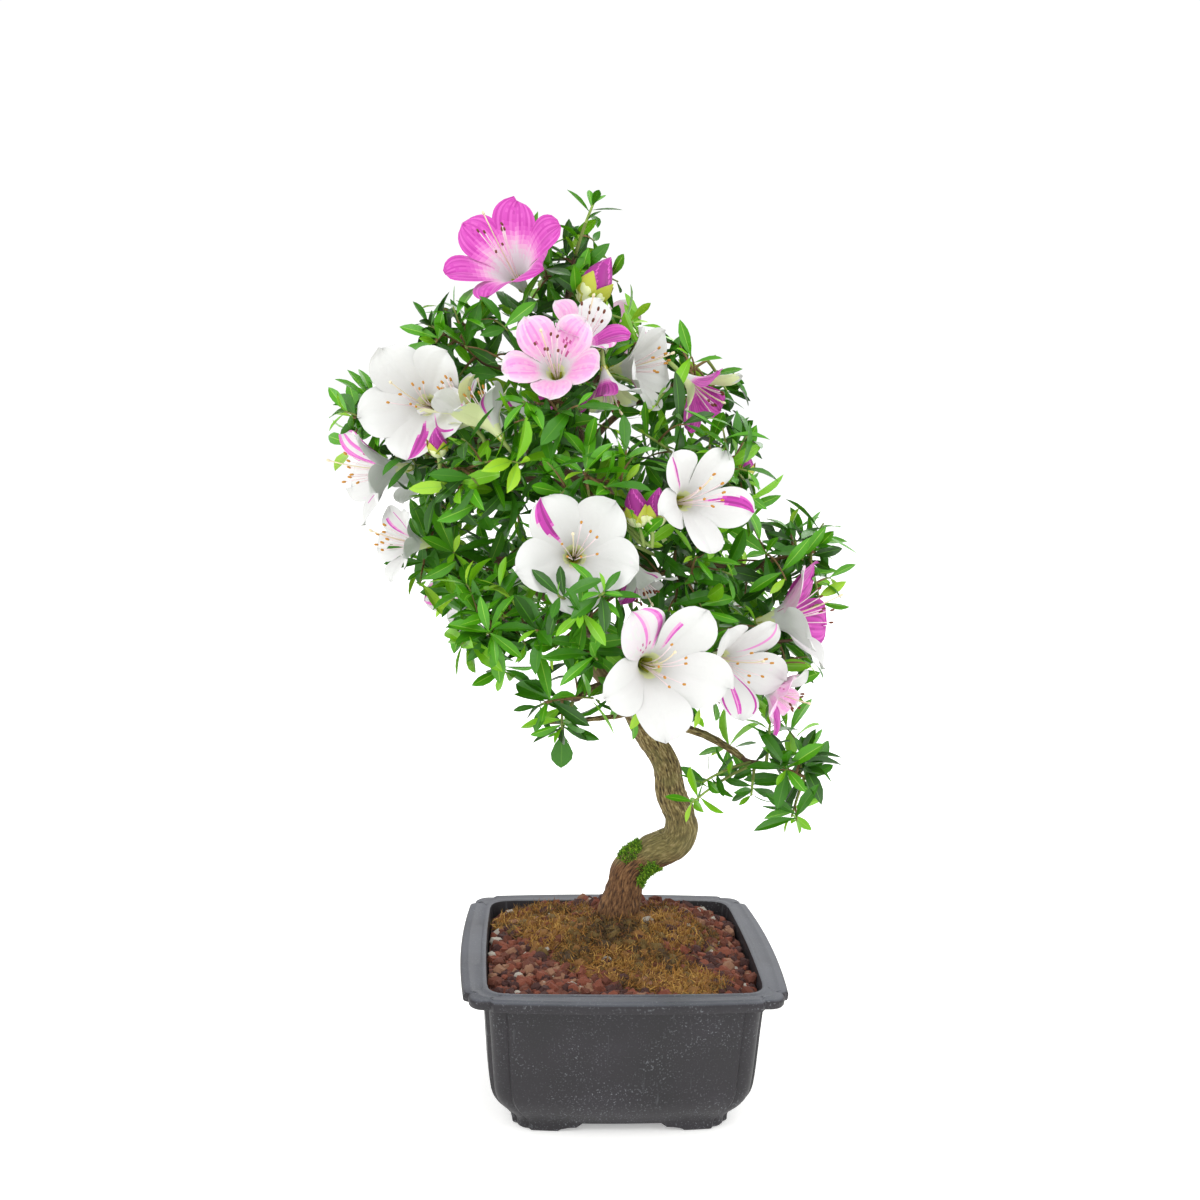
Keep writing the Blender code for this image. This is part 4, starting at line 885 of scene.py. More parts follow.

# %% [markdown]
# ## How a mass grows
#
# Twigs, leaves and flowers follow one rule, the same as in the solids. A stem goes on from the tip of the
# bough. Candidate ends lie evenly round the middle of the mass, on a spiral of golden angles. The next twig
# goes to the candidate that is farthest from all ends so far, from the nearest place on the stem that has a
# clear line to it. It must stay in the mass's own space, off the bark and out of the flowers. Here the rule
# runs a second time: finer twigs fork from the first ones, and every tip gets a whorl of leaves, as azaleas
# have.

# %% Flowers and buds to keep clear of
# Each flower has the middle of its mouth, the way it faces, its radius, a letter for each lobe and its
# fullness. The letters: w white, c cream (painted shade and light through the petal, for flowers seen from
# behind), b blush, o magenta round a pale throat, m magenta, s striped, f finely striped and g white with
# one magenta wedge. A bud has its foot, the way it points and its length.
BLOOMS = (
    ((-65, -8, 423), (-0.35, -0.75, 0.55), 29, "oooooo", 0.93),
    ((-41, -56, 371), (-0.15, -0.85, 0.45), 23, "bbbbb", 1.00),
    ((-22, -36, 387), (0.30, -0.60, 0.75), 20, "smwbs", 1.00),
    ((10, -16, 368), (0.85, -0.50, 0.10), 21, "wwwwf", 1.05),
    ((38, -14, 352), (0.65, -0.45, -0.60), 19, "mmcmc", 0.95),
    ((-106, -24, 349), (-0.30, -0.93, 0.10), 28, "gfwww", 1.15),
    ((-133, -4, 312), (-0.92, -0.30, -0.15), 24, "fwwsw", 1.05),
    ((-116, -14, 281), (-0.85, -0.45, 0.10), 19, "wwwfw", 1.00),
    ((-28.5, -75.5, 283.5), (0.00, -0.97, 0.20), 28, "wwwgw", 1.12),
    ((31, -64, 308), (0.45, -0.85, 0.15), 25, "wgwfw", 0.96),
    ((5, -52, 262), (0.40, -0.30, -0.85), 16, "mwwfw", 1.00),
    ((15, -78, 230), (0.30, -0.95, 0.05), 32, "wwfsw", 1.02),
    ((56, -46, 226), (0.55, -0.80, -0.10), 25, "fwfww", 1.05),
    ((93, -20, 250), (0.90, -0.35, 0.20), 27, "wmmbw", 1.10),
    ((80, -30, 207), (0.80, -0.45, -0.40), 18, "mbwbb", 1.00),
    ((-88, -24, 353), (-0.60, 0.05, 0.80), 17, "cwcfc", 0.95),
    ((-74, -32, 348), (-0.55, 0.25, 0.80), 18, "ccfcc", 0.95),
    ((-12, -36, 349), (0.20, -0.25, -0.95), 16, "mccwm", 0.95),
    ((-50, 102, 338), (-0.20, 0.93, 0.30), 24, "wwfmw", 1.05),
    ((-6, 88, 388), (0.10, 0.80, 0.55), 24, "bbsbb", 1.05),
    ((40, 100, 304), (0.30, 0.90, 0.20), 24, "wwwwf", 1.05),
    ((-84, 104, 246), (-0.40, 0.90, 0.10), 24, "wswwm", 1.05),
    ((60, 104, 236), (0.50, 0.85, -0.10), 24, "wwgww", 1.05),
    ((-112, 50, 318), (-0.85, 0.50, 0.10), 22, "wfwww", 1.05),
)
BUDS = (
    ((1, -56, 293), (-0.22, -0.20, 1.00), 20),
    ((7, -57, 293), (0.12, -0.15, 1.00), 19),
    ((53, -22, 314), (0.10, -0.20, 1.00), 15),
    ((-92, -28, 322), (-0.10, -0.30, 1.00), 15),
    ((-25, -4, 396), (0.50, 0.00, 0.87), 27),
    ((28, 96, 272), (0.20, 0.80, 0.60), 18),
)
BLOOM_DEPTH = 1.15
bloom_axes = unit(np.array([bloom[1] for bloom in BLOOMS], float))
bloom_radii = np.array([bloom[2] for bloom in BLOOMS], float)
bloom_mouths = np.array([bloom[0] for bloom in BLOOMS], float)
bloom_feet = bloom_mouths - bloom_axes * (bloom_radii * BLOOM_DEPTH)[:, None]
bud_feet = np.array([bud[0] for bud in BUDS], float)
bud_axes = unit(np.array([bud[1] for bud in BUDS], float))
print("flowers and buds:", len(BLOOMS), len(BUDS))

# %% Room to grow
SPACE_LIMIT, SPACE_MARGIN, LIMB_GAP, BLOOM_GAP = 1.22, 0.03, 1.0, 1.2
TUBE_RADIUS, ROOM_IN_FRONT = 3.0, 1.45  # of a flower's tube, and how far in front it is kept free, in depths
solid_limbs = [(TRUNK_PATH[:, :3], TRUNK_PATH[:, 3])] + limbs
piece_start = np.concatenate([path[:-1] for path, _ in solid_limbs])
piece_along = np.concatenate([np.diff(path, axis=0) for path, _ in solid_limbs])
piece_bark = np.concatenate([radii[:-1] for _, radii in solid_limbs])
piece_taper = np.concatenate([np.diff(radii) for _, radii in solid_limbs])


def nearest_mass(points):
    """The mass whose centre is nearest, counted in units of its reach."""
    return np.linalg.norm((np.atleast_2d(points)[:, None] - CENTRES) / REACHES, axis=2).argmin(1)


def in_own_space(points, own, limit):
    """True inside the mass's own reach and nearer to its centre than to any other."""
    share = np.linalg.norm((points[..., None, :] - CENTRES) / REACHES, axis=-1)
    others = np.delete(share, own, axis=-1).min(-1)
    return (share[..., own] < limit) & (share[..., own] + SPACE_MARGIN < others)


def clear_of_bark(points, gap=LIMB_GAP):
    """True where a point's distance to every piece of limb, less the radius there, is over the gap."""
    away = points[..., None, :] - piece_start
    t = ((away * piece_along).sum(-1) / (piece_along**2).sum(-1)).clip(0, 1)
    distance = np.linalg.norm(away - t[..., None] * piece_along, axis=-1)
    return (distance - piece_bark - t * piece_taper > gap).all(-1)


def clear_of_blooms(points, gap=BLOOM_GAP):
    """True outside every flower's funnel and the room in front of it."""
    away = points[..., None, :] - bloom_feet
    along = (away * bloom_axes).sum(-1)
    across = np.linalg.norm(away - along[..., None] * bloom_axes, axis=-1)
    depth = bloom_radii * BLOOM_DEPTH
    edge = TUBE_RADIUS + (bloom_radii - TUBE_RADIUS) * (along / depth).clip(0, 1) ** 1.3
    return ~((along > -TUBE_RADIUS) & (along < ROOM_IN_FRONT * depth) & (across < edge + gap)).any(-1)


OPENINGS = (  # middle and radius of places that the grower has pinched open
    ((49, 8, 387), 25), ((0, 15, 434), 15), ((12, 15, 418), 12), ((-94, 6, 401), 8), ((-151, 10, 324), 10),
    ((-104, 12, 261), 9), ((-91, -20, 227), 11), ((71, 0, 319), 14), ((86, 0, 304), 10), ((-13, -20, 184), 13),
    ((72, -28, 326), 16), ((42, -26, 384), 14), ((50, 40, 386), 20), ((-116, 16, 380), 14), ((-7, 8, 424), 13),
    ((18, 36, 398), 14), ((-112, 5, 250), 13),
)


def clear_of_openings(points):
    """True outside the balls that are kept open."""
    return np.all([np.linalg.norm(points - middle, axis=-1) > radius for middle, radius in OPENINGS], axis=0)


print("pieces of limb that foliage stays off:", len(piece_start))

# %% Twigs of one mass
TWIG_STATIONS = 6
SHADES = {"stem": 0, "twig": 1, "shoot": 2}  # first finish of each kind: wood, yellow-brown or green
TWIG_PROBES = np.linspace(0.14, 1.0, 8)[:, None]  # shares of a line at which it is tried
GOLDEN = math.pi * (3 - math.sqrt(5))
STEM_REACH = 0.62  # of the mass's reach, beyond its centre
FIRST_ENDS, FIRST_SHELL = 40, 0.62
FINE_ENDS, FINE_SHELLS = 120, (0.60, 0.82, 0.98)
USUAL_FORKS = (7, 8)  # how many first and finer twigs
FORKS = {"low_right_spray": (3, 3), "low_spray": (2, 1), "low_front": (6, 5)}  # where a mass has fewer


def golden_directions(count, start):
    """Directions spread evenly over a sphere: equal steps in height, a golden angle round for each."""
    k = np.arange(count)
    height = 1 - 2 * (k + 0.5) / count
    turn = k * GOLDEN + start
    flat = np.sqrt(1 - height * height)
    return np.stack([flat * np.cos(turn), flat * np.sin(turn), height], 1)


def points_on(path, count):
    """A path with another number of points, evenly spread over its stations."""
    steps = np.linspace(0, len(path) - 1, count)
    return np.stack([np.interp(steps, np.arange(len(path)), path[:, k]) for k in range(3)], 1)


class Growth:
    """The twigs of one mass: each a line of points with a base and a tip radius."""

    def __init__(self, own):
        self.own, self.centre, self.reach = own, CENTRES[own], REACHES[own]
        self.twigs, self.tips = [], []
        self.rng = np.random.default_rng(100 + own)
        name = NAMES[own]
        self.shoots = [np.array(end, float) for end in MASSES[name][3]]
        if MASSES[name][2] is None:
            path, radii = TRUNK_PATH[-3:, :3], TRUNK_PATH[-3:, 3]
            self.outward = np.array((0.0, 0.0, 1.0))
        else:
            path, radii = bough_of(self.centre, self.reach, MASSES[name][2])
            self.outward = unit(self.centre - trunk_at(self.centre[2])[:3])
        self.add_stem(path[-1], unit(path[-1] - path[-2]), radii[-1])

    def free(self, points):
        """True in the mass's own space, off the bark and out of the openings and the flowers."""
        inside = in_own_space(points, self.own, SPACE_LIMIT) & clear_of_openings(points)
        return inside & clear_of_bark(points) & clear_of_blooms(points)

    def add_stem(self, tip, way, radius):
        """The stem goes on from the bough's tip, straight at first, then bends past the centre of the mass."""
        end = self.centre + unit(self.centre - tip) * self.reach * STEM_REACH
        bend = arched(tip + way * 3.4, end, 0.05, 5)
        stem = smooth_path(np.vstack([tip - way * 1.5, tip, bend]), 12)
        self.keep(stem, (radius, 0.5 * radius), "stem")
        self.places = points_on(stem[3:], 26)[4:-2]

    def keep(self, path, radii, kind):
        """Notes a twig, its base and tip radius, and its tip, which gets leaves."""
        self.twigs.append((points_on(path, TWIG_STATIONS * (1 + (kind == "stem"))), radii, SHADES[kind]))
        self.tips.append((path, kind))

    def take_place(self, end, clear, nearest=0.0):
        """The nearest place left from which a straight twig is clear all the way to its end."""
        line = self.places[:, None, :] * (1 - TWIG_PROBES) + end * TWIG_PROBES
        far = np.linalg.norm(self.places - end, axis=1)
        good = clear(line).all(1) & (far > nearest)
        if not good.any():
            return None
        best = int(np.where(good, far, np.inf).argmin())
        place = self.places[best]
        self.places = np.delete(self.places, best, axis=0)
        return place

    def branch_out(self, ends, count, apart, radii, rise, outward, longest):
        """Twigs to the ends farthest from each other, while they lie at least `apart`."""
        weight = 1.0 + outward * (unit(ends - self.centre) @ self.outward)
        made = []
        while len(made) < count and weight.max() > 0:
            tips = np.array([path[-1] for path, _ in self.tips])
            gaps = np.linalg.norm(ends[:, None] - tips, axis=2).min(1)
            best = int((gaps * weight).argmax())
            if weight[best] * gaps[best] < apart:
                break
            weight[best] = 0.0
            place = self.take_place(ends[best], self.free, 5.0)
            if place is None or np.linalg.norm(ends[best] - place) > longest:
                continue
            path = arched(place, ends[best], rise * self.rng.uniform(0.3, 1.6), 5)
            self.keep(path, radii, "twig")
            made.append(path)
        return made

    def grow(self):
        """First the long shoots, then the first twigs from the stem, then the finer ones from those."""
        shoots = []
        for end in self.shoots:
            place = self.take_place(end, clear_of_bark)
            if place is not None:
                path = arched(place, end, 0.05, 6)
                self.keep(path, (0.95, 0.6), "shoot")
                shoots.append(path)
        forks, fine_forks = FORKS.get(NAMES[self.own], USUAL_FORKS)
        ends = self.centre + golden_directions(FIRST_ENDS, self.own * 0.7) * self.reach * FIRST_SHELL
        first = self.branch_out(
            ends, forks, apart=11.0, radii=(0.85, 0.55), rise=0.05, outward=0.55, longest=60.0)
        fork_places = [points_on(path, 9)[2:8] for path in first + shoots + [self.twigs[0][0]]]
        self.places = np.concatenate(fork_places)
        shells = np.resize(FINE_SHELLS, FINE_ENDS)[:, None]
        ends = self.centre + golden_directions(FINE_ENDS, self.own * 1.3) * self.reach * shells
        self.branch_out(
            ends, fine_forks, apart=9.0, radii=(0.6, 0.42), rise=0.09, outward=0.35, longest=36.0)


growths = []
for own in range(len(NAMES)):
    growths.append(Growth(own))
    growths[-1].grow()
print("twigs in each mass:", [len(growth.twigs) for growth in growths])

# %% [markdown]
# ## Flower stalks
#
# A flower stands on a short green stalk that comes off the nearest stem. The stalk runs to a knee a little
# behind the flower's foot and then straight along its axis, as in the solids, and carries a collar of
# leaves.

# %% Stalks
COLLAR_BACK = 9.0  # from a flower's foot back to its stalk's knee
STALK_STATIONS = 10
stalk_paths, collars = [], []
feet = np.vstack([bloom_feet, bud_feet])
axes = np.vstack([bloom_axes, bud_axes])
for foot, way, own in zip(feet, axes, nearest_mass(feet)):
    growth = growths[own]
    knee = foot - way * COLLAR_BACK
    stem = points_on(growth.twigs[0][0], 30)[4:]
    far = np.linalg.norm(stem - knee, axis=1)
    line = stem[:, None, :] * (1 - TWIG_PROBES) + knee * TWIG_PROBES
    start = stem[int(np.where(clear_of_bark(line).all(1), far, far + 100).argmin())]
    middle = (start + knee) / 2 + (0, 0, 1.0)
    stalk_paths.append(smooth_path([start, middle, knee, foot - way * 3, foot + way], STALK_STATIONS))
    collars.append((np.array([start, knee]), "collar"))
print("stalks:", len(stalk_paths))

# %% Twigs as one mesh
# Young azalea twigs are wiry, yellow-brown where they are a year old and olive-green at the tips.
TWIG_TONES = (
    ("woody brown", "#5e4532"), ("yellow brown", "#7a6038"), ("olive green", "#6d7a35"),
    ("fresh green", "#8aa54a"),
)
TWIG_SIDES = 6
ASIDE = (0.31, 0.87, 0.38)  # a direction that no twig, stalk or stamen follows
twig_finishes = [finish(f"azalea twig, {tone}", colour, 0.7) for tone, colour in TWIG_TONES]
for material in twig_finishes:
    roughen(material, size=0.909, detail=3.0, strength=0.5, depth=0.4)


def add_tubes(heap, paths, radii, sides, tone_rows):
    """Tubes of one length of path, with a finish number for each stretch of the path."""
    points, faces, caps = tubes(paths, radii, sides, aside=ASIDE)
    tones = np.broadcast_to(np.asarray(tone_rows)[..., None], (len(paths), paths.shape[1] - 1, sides)).ravel()
    heap.add(points, faces, tones)
    heap.close(points, caps, tones[0])


rng = np.random.default_rng(33)
heap = Heap()
by_length = {}
for growth in growths:
    for path, (base, tip), shade in growth.twigs:
        by_length.setdefault(len(path), []).append((path, np.linspace(base, tip, len(path)), shade))
for stations, twigs in sorted(by_length.items()):
    paths, radii, shades = (np.array(column) for column in zip(*twigs))
    younger = (np.arange(stations - 1) > 0.4 * stations) & (rng.uniform(0, 1, (len(twigs), 1)) < 0.7)
    add_tubes(heap, paths, radii, TWIG_SIDES, shades[:, None] + younger)
heap.piece("azalea_twigs", twig_finishes, slot="bark")

# %% [markdown]
# ## Leaves
#
# A satsuki leaf is 12 to 26 mm long, widest past its middle, with a short point, glossy and dark above,
# with a paler midrib. Six to eight stand in a whorl at each tip, the inner ones young, short and bright.
# One leaf is a small grid of eighteen faces: two half-blades that rise from the midrib, and a narrow rib
# between them. All leaves are computed together as one array. Their greens are plain finishes dealt out
# spray by spray.

# %% Whorls and single leaves
TILTS = {"collar": (65, 105)}  # degrees from the twig, of the innermost and the outermost leaf
USUAL_TILTS = (40, 92)
SHOOT_SHARE = 0.80  # a leaf on a long shoot is shorter


def whorl(kind, rng):
    """Tilt from the twig, turn round it, distance back and length of the leaves at one tip.

    They run from the outer leaves to the young ones inside, each one golden angle on from the last.
    """
    count = int(rng.integers(3, 6)) if kind == "collar" else int(rng.integers(6, 9))
    k = np.arange(count)
    share = k / (count - 1)
    low, high = TILTS.get(kind, USUAL_TILTS)
    tilt = np.radians(high - (high - low) * share**1.2 + rng.uniform(-9, 9, count))
    turn = rng.uniform(0, math.tau) + k * GOLDEN + rng.uniform(-0.25, 0.25, count)
    back = 5.5 * (1 - share) + 0.2
    length = (22.5 - 7.0 * share**2) * rng.uniform(0.80, 1.14, count)
    return tilt, turn, back, length * (SHOOT_SHARE if kind == "shoot" else 1.0)


def leaves_below(path, kind, rng):
    """The same for the single leaves lower on a twig, of which a collar has none."""
    span = np.linalg.norm(path[-1] - path[0])
    count = int(span / (9.0 if kind == "shoot" else 11.0))
    if kind == "collar" or count == 0:
        return [np.zeros(0)] * 4
    k = np.arange(count)
    back = 8.0 + (span * 0.86 - 8.0) * (k + rng.uniform(0.1, 0.9, count)) / count
    tilt = np.radians(rng.uniform(48, 82, count))
    turn = rng.uniform(0, math.tau) + k * GOLDEN
    length = rng.uniform(14, 21, count) * (SHOOT_SHARE if kind == "shoot" else 1.0)
    return [column[: (back < span * 0.9).sum()] for column in (tilt, turn, back, length)]


def at_distance(path, run, along):
    """Points of a path at distances along it."""
    return np.stack([np.interp(np.clip(along, 0, run[-1]), run, path[:, k]) for k in range(3)], 1)


def place_on(path, back):
    """Points a distance back from the end of a path, and the path's direction there."""
    run = run_along(path)
    along = np.clip(run[-1] - back, 0, run[-1])
    ahead, behind = (at_distance(path, run, along + step) for step in (0.5, -0.5))
    return at_distance(path, run, along), unit(ahead - behind)


print("leaves of one whorl:", len(whorl("twig", np.random.default_rng(1))[0]))

# %% Where the leaves stand
rows = {}
spray = 0


def note_leaves(count, **columns):
    """Adds a group of leaves to the rows. A single value in a column is meant for all of them."""
    for key, value in columns.items():
        rows.setdefault(key, []).append(value if np.ndim(value) else np.full(count, value))


for own, growth in enumerate(growths):
    rng = np.random.default_rng(700 + own)
    tips = growth.tips + [collar for collar, home in zip(collars, nearest_mass(feet)) if home == own]
    for path, kind in tips:
        across, over = square_pair(unit(path[-1] - path[-2]), ASIDE)
        at_tip, lower = whorl(kind, rng), leaves_below(path, kind, rng)
        for (tilt, turn, back, length), last_rank in ((at_tip, 1), (lower, 0)):
            root, forward_here = place_on(path, back)
            spread = round_about(turn, across, over)
            way = unit(np.cos(tilt)[:, None] * forward_here + np.sin(tilt)[:, None] * spread + (0, 0, 0.12))
            face_up = unit(0.75 * forward_here + (0, 0, 0.75) + rng.normal(0, 0.22, way.shape))
            note_leaves(len(root), root=root, way=way, up=face_up, length=length, own=own, spray=spray,
                        rank=np.linspace(0, last_rank, len(root)), shoot=kind == "shoot")
        spray += 1
# One old leaf hangs by itself under the lowest spray on the left. It comes last in every column.
note_leaves(1, root=np.array([(-31.0, -5.0, 185.0)]), way=np.array([(0.03, -0.18, -0.98)]),
            up=np.array([(0.1, -0.97, -0.2)]), length=17.0, own=NAMES.index("low_spray"), spray=spray,
            rank=0.0, shoot=True)
spray += 1
leaf = {key: np.concatenate(value) for key, value in rows.items()}
print("sprays and leaves before thinning:", spray, len(leaf["root"]))

# %% Thinning
# A leaf goes where it leaves the crown, touches bark or enters a flower or an opening. Long shoots may reach
# farther, and their leaves may cross flowers. Of two leaves whose middles nearly meet, the first one stays.
LEAF_PROBES = np.array((0.35, 0.6, 0.8, 1.0))[:, None]  # shares of a leaf's length at which it is tried
LEAF_LIMIT, SHOOT_LEAF_LIMIT, LEAF_GAP = 1.40, 2.1, 3.0
LEAF_OFF_BARK, LEAF_OFF_BLOOM = 0.5, 0.6


def only(kept, columns):
    """The columns with only the leaves that are kept."""
    return {key: value[kept] for key, value in columns.items()}


probes = leaf["root"][:, None] + leaf["way"][:, None] * leaf["length"][:, None, None] * LEAF_PROBES
leaf["share"] = np.linalg.norm((probes[..., None, :] - CENTRES) / REACHES, axis=-1).min(-1)
limit = np.where(leaf["shoot"], SHOOT_LEAF_LIMIT, LEAF_LIMIT)
kept = (leaf["share"] < limit[:, None]).all(1) & clear_of_bark(probes, LEAF_OFF_BARK).all(1)
kept &= (clear_of_openings(probes) & clear_of_blooms(probes, LEAF_OFF_BLOOM)).all(1) | leaf["shoot"]
leaf, middles = only(kept, leaf), probes[kept, 1]
apart = np.linalg.norm(middles[:, None] - middles, axis=2)
leaf = only(~((apart < LEAF_GAP) & np.tri(len(middles), k=-1, dtype=bool)).any(1), leaf)
leaf_count = len(leaf["root"])
print("leaves:", leaf_count)

# %% Greens of the leaves
# A leaf has a waxy skin over soft green tissue, so it is glossy with a slightly uneven face. The gloss is
# what gives each leaf its white glint. Young leaves are lighter. Leaves deep in the crown take darker greens
# and those on its outside lighter ones: painted shade for the dark inside of the crown, painted light outside.
LEAF_GREENS = (
    ("shaded", "#235204"), ("deep", "#337206"), ("full", "#4a930a"), ("light", "#70b014"), ("new", "#95c42c"),
)
RIB_GREENS = (("dark rib", "#478018"), ("pale rib", "#86bd3a"))
DARK_RIB, PALE_RIB = len(LEAF_GREENS), len(LEAF_GREENS) + 1
YOUNG_RANK = 0.85  # from here inwards the leaves of a whorl are young
rng = np.random.default_rng(77)
young = leaf["rank"] > YOUNG_RANK
spray_tone = rng.normal(0, 0.8, spray)[leaf["spray"]]
# Painted shade and light: the deeper a leaf lies in the crown, the darker its green; outer leaves are lighter.
outer_painted_light = smooth_step(0.55, 1.15, leaf["share"].mean(1))
tone = 0.9 + spray_tone + 1.1 * outer_painted_light + 1.3 * young + rng.normal(0, 0.45, leaf_count)
tone = np.clip(tone.round().astype(int), 0, len(LEAF_GREENS) - 1)
tone[-1] = 1  # the hanging leaf is old and dark
greens = LEAF_GREENS + RIB_GREENS
leaf_finishes = [finish(f"azalea leaf, {name}", colour, 0.36, IOR=1.42) for name, colour in greens]
for material in leaf_finishes:
    cells = roughen(material, size=1.43, detail=2.0, strength=0.22, depth=0.6)
    gloss = add(material, "MapRange", Value=cells, From_Min=0.3, From_Max=0.7, To_Min=0.28, To_Max=0.46)
    plug(material, Roughness=gloss.outputs["Result"])
print("leaves of each green:", np.bincount(tone))

# %% All leaves
LEAF_FORM = ((0.0, 0.10), (0.10, 0.20), (0.30, 0.66), (0.55, 0.98), (0.74, 0.90), (0.90, 0.48), (1.0, 0.03))
LEAF_LANES = (-1.0, -0.06, 0.06, 1.0)
LEAF_PARTS = {"upper_leaves": (0, 8), "lower_leaves": (8, 17), "rear_leaves": (17, 23)}  # first mass and end
leaf["length"] = np.where(young, leaf["length"] * 0.72, leaf["length"])
leaf["width"] = leaf["length"] * rng.uniform(0.26, 0.36, leaf_count)
leaf["width"][-1] = 0.68 * leaf["length"][-1]  # the hanging leaf is broad too
leaf["curl"] = rng.uniform(-0.02, 0.34, leaf_count)
leaf["fold"] = rng.uniform(0.15, 0.60, leaf_count)
leaf["tone"], leaf["rib"] = tone, np.where(tone < 2, DARK_RIB, PALE_RIB)
for part, (first, last) in LEAF_PARTS.items():
    mine = only((leaf["own"] >= first) & (leaf["own"] < last), leaf)
    points, faces = blades(mine["root"], mine["way"], mine["up"], mine["length"], mine["width"], LEAF_FORM,
                           LEAF_LANES, mine["curl"], mine["fold"])
    tones = np.stack([mine["tone"], mine["rib"], mine["tone"]], 1)
    heap = Heap()
    heap.add(points, faces, np.repeat(tones, len(LEAF_FORM) - 1, axis=0).ravel())
    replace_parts(heap.piece(part, leaf_finishes), *(f"foliage_{name}" for name in NAMES[first:last]))

# %% [markdown]
# ## Flowers
#
# An azalea flower is a funnel whose rim parts into five or six broad lobes with wavy edges. Ten stamens
# would be its full number. Satsuki show five to eight, with brown anthers, and one longer style. Each lobe
# is a grid. At the foot its cross-section is a part of a circle, so that the lobes close to a tube, and
# farther out that circle widens until the lobe is nearly flat. White, pink and magenta sit on the same
# plant in stripes, flecks and whole sectors, so each face of the grid takes one of a row of petal finishes.

# %% Petal finishes
# Petals are thin, moist and matt with a faint sheen. Light passes through them, so their shaded side is never
# dark. A faint glow in the petal's own colour stands for that light.
PETAL_TINTS = (
    "#cbccca", "#cec8cc", "#d1bcc8", "#d7b1c9", "#d8a3c6", "#d893c4", "#d581c0",
    "#d26fbb", "#cd5db5", "#c64bae", "#bd39a5", "#b12999", "#a21c8c", "#900f7c",
)
MOST = len(PETAL_TINTS) - 1
PETAL_GLOW = 0.05
petal_finishes = [finish(f"petal, tint {k}", tint, 0.55) for k, tint in enumerate(PETAL_TINTS)]
petal_finishes += [finish("petal, green throat", "#d8dfa8", 0.55), finish("petal, rose spot", "#b04a86", 0.55)]
GREEN_THROAT, ROSE_SPOT = MOST + 1, MOST + 2
for material in petal_finishes:
    roughen(material, size=1.92, detail=3.0, strength=0.25, depth=0.6)
    shader = material.node_tree.nodes["Principled BSDF"]
    shader.inputs["Sheen Weight"].default_value = 0.15
    shader.inputs["Emission Color"].default_value = shader.inputs["Base Color"].default_value
    shader.inputs["Emission Strength"].default_value = PETAL_GLOW
print("petal finishes:", len(petal_finishes))

# %% One corolla
LOBE_ROWS, LOBE_LANES = 23, 19
LOBE_STATIONS = (  # distance from the axis, of the radius, and height, of the depth
    (0.06, 0.0), (0.13, 0.20), (0.24, 0.41), (0.40, 0.62), (0.60, 0.80), (0.81, 0.93), (1.03, 0.98),
)
LOBE_LINE = smooth_path(LOBE_STATIONS, LOBE_ROWS)
WIDEST, WIDEST_AT = 0.40, 0.70


def lobe_half_width(t):
    """Half the width of a free lobe, of the radius: it widens to WIDEST, then rounds off to a blunt point."""
    widening = 0.45 + 0.55 * smooth_step(0.25, WIDEST_AT, t)
    rounding = np.clip(1 - np.clip((t - WIDEST_AT) / (1 - WIDEST_AT), 0, 1) ** 2.0, 0, 1) ** 0.62
    return WIDEST * widening * rounding + 0.008


def flower_sides(axis):
    """Two directions square to a flower's axis. The second points up, or nearly so, unless the flower does."""
    return square_pair(axis, (0.0, 0.0, 1.0) if abs(axis[2]) < 0.9 else (1.0, 0.0, 0.0))


def corolla(foot, axis, radius, lobes, fullness, rng):
    """Points of every lobe: foot + axis·h + outward·(r − ρ(1 − cos φ)) + sideways·ρ·sin φ, φ = s·half/ρ.

    r and h follow the lobe's middle line. ρ is r in the tube, which closes it, and grows to 5r farther out.
    Waves along the margin, a groove along the middle and a slight overlap on one side are added to h.
    """
    t = np.linspace(0, 1, LOBE_ROWS)[None, :, None]
    s = np.linspace(-1, 1, LOBE_LANES)[None, None, :]
    depth = radius * BLOOM_DEPTH
    line_r, line_h = (LOBE_LINE[:, k][None, :, None] for k in (0, 1))
    out, along = line_r * radius, line_h * depth
    free = smooth_step(0.36, 0.62, t)
    half = math.pi / lobes * out * (1 - free) + fullness * radius * lobe_half_width(t) * free
    rho = out * (1 + 4 * free)
    phi = s * half / rho
    shape = (lobes, 1, 1)
    chances = ((0, math.tau), (1.6, 2.6), (-0.16, 0.10), (-0.05, 0.05))
    phase, waves, tip, lean = (rng.uniform(*ends, shape) for ends in chances)
    ruffle = 0.070 * radius * np.abs(s) ** 1.6 * np.sin(waves * math.pi * t + phase + 1.2 * np.sign(s)) * free
    veins = 0.008 * radius * np.cos(s * 19.0) * (1 - s * s)
    groove = (0.05 * radius * np.exp(-((s / 0.28) ** 2)) + veins) * free
    tip_bend = radius * tip * np.clip(t - 0.45, 0, 1) ** 2 * 2.4
    lift = along + ruffle - groove + tip_bend + 0.022 * radius * s * free
    inward = out - rho * (1 - np.cos(phi))
    aside = rho * np.sin(phi) + lean * radius * free * t
    across, over = flower_sides(axis)
    angle = np.arange(lobes) * math.tau / lobes + math.pi / 2
    outward = round_about(angle, across, over)
    sideways = np.cos(angle)[:, None] * over - np.sin(angle)[:, None] * across
    points = foot + axis * lift[..., None] + outward[:, None, None, :] * inward[..., None]
    return points + sideways[:, None, None, :] * aside[..., None]


print("faces of one lobe:", len(quads(1, LOBE_ROWS, LOBE_LANES)))

# %% Colours of one lobe
STRIPE_STATIONS = 14


def stripes(s, rng):
    """A value for each lane across a lobe, smooth between random stations."""
    return np.interp(s, np.linspace(-1, 1, STRIPE_STATIONS), rng.uniform(0, 1, STRIPE_STATIONS))


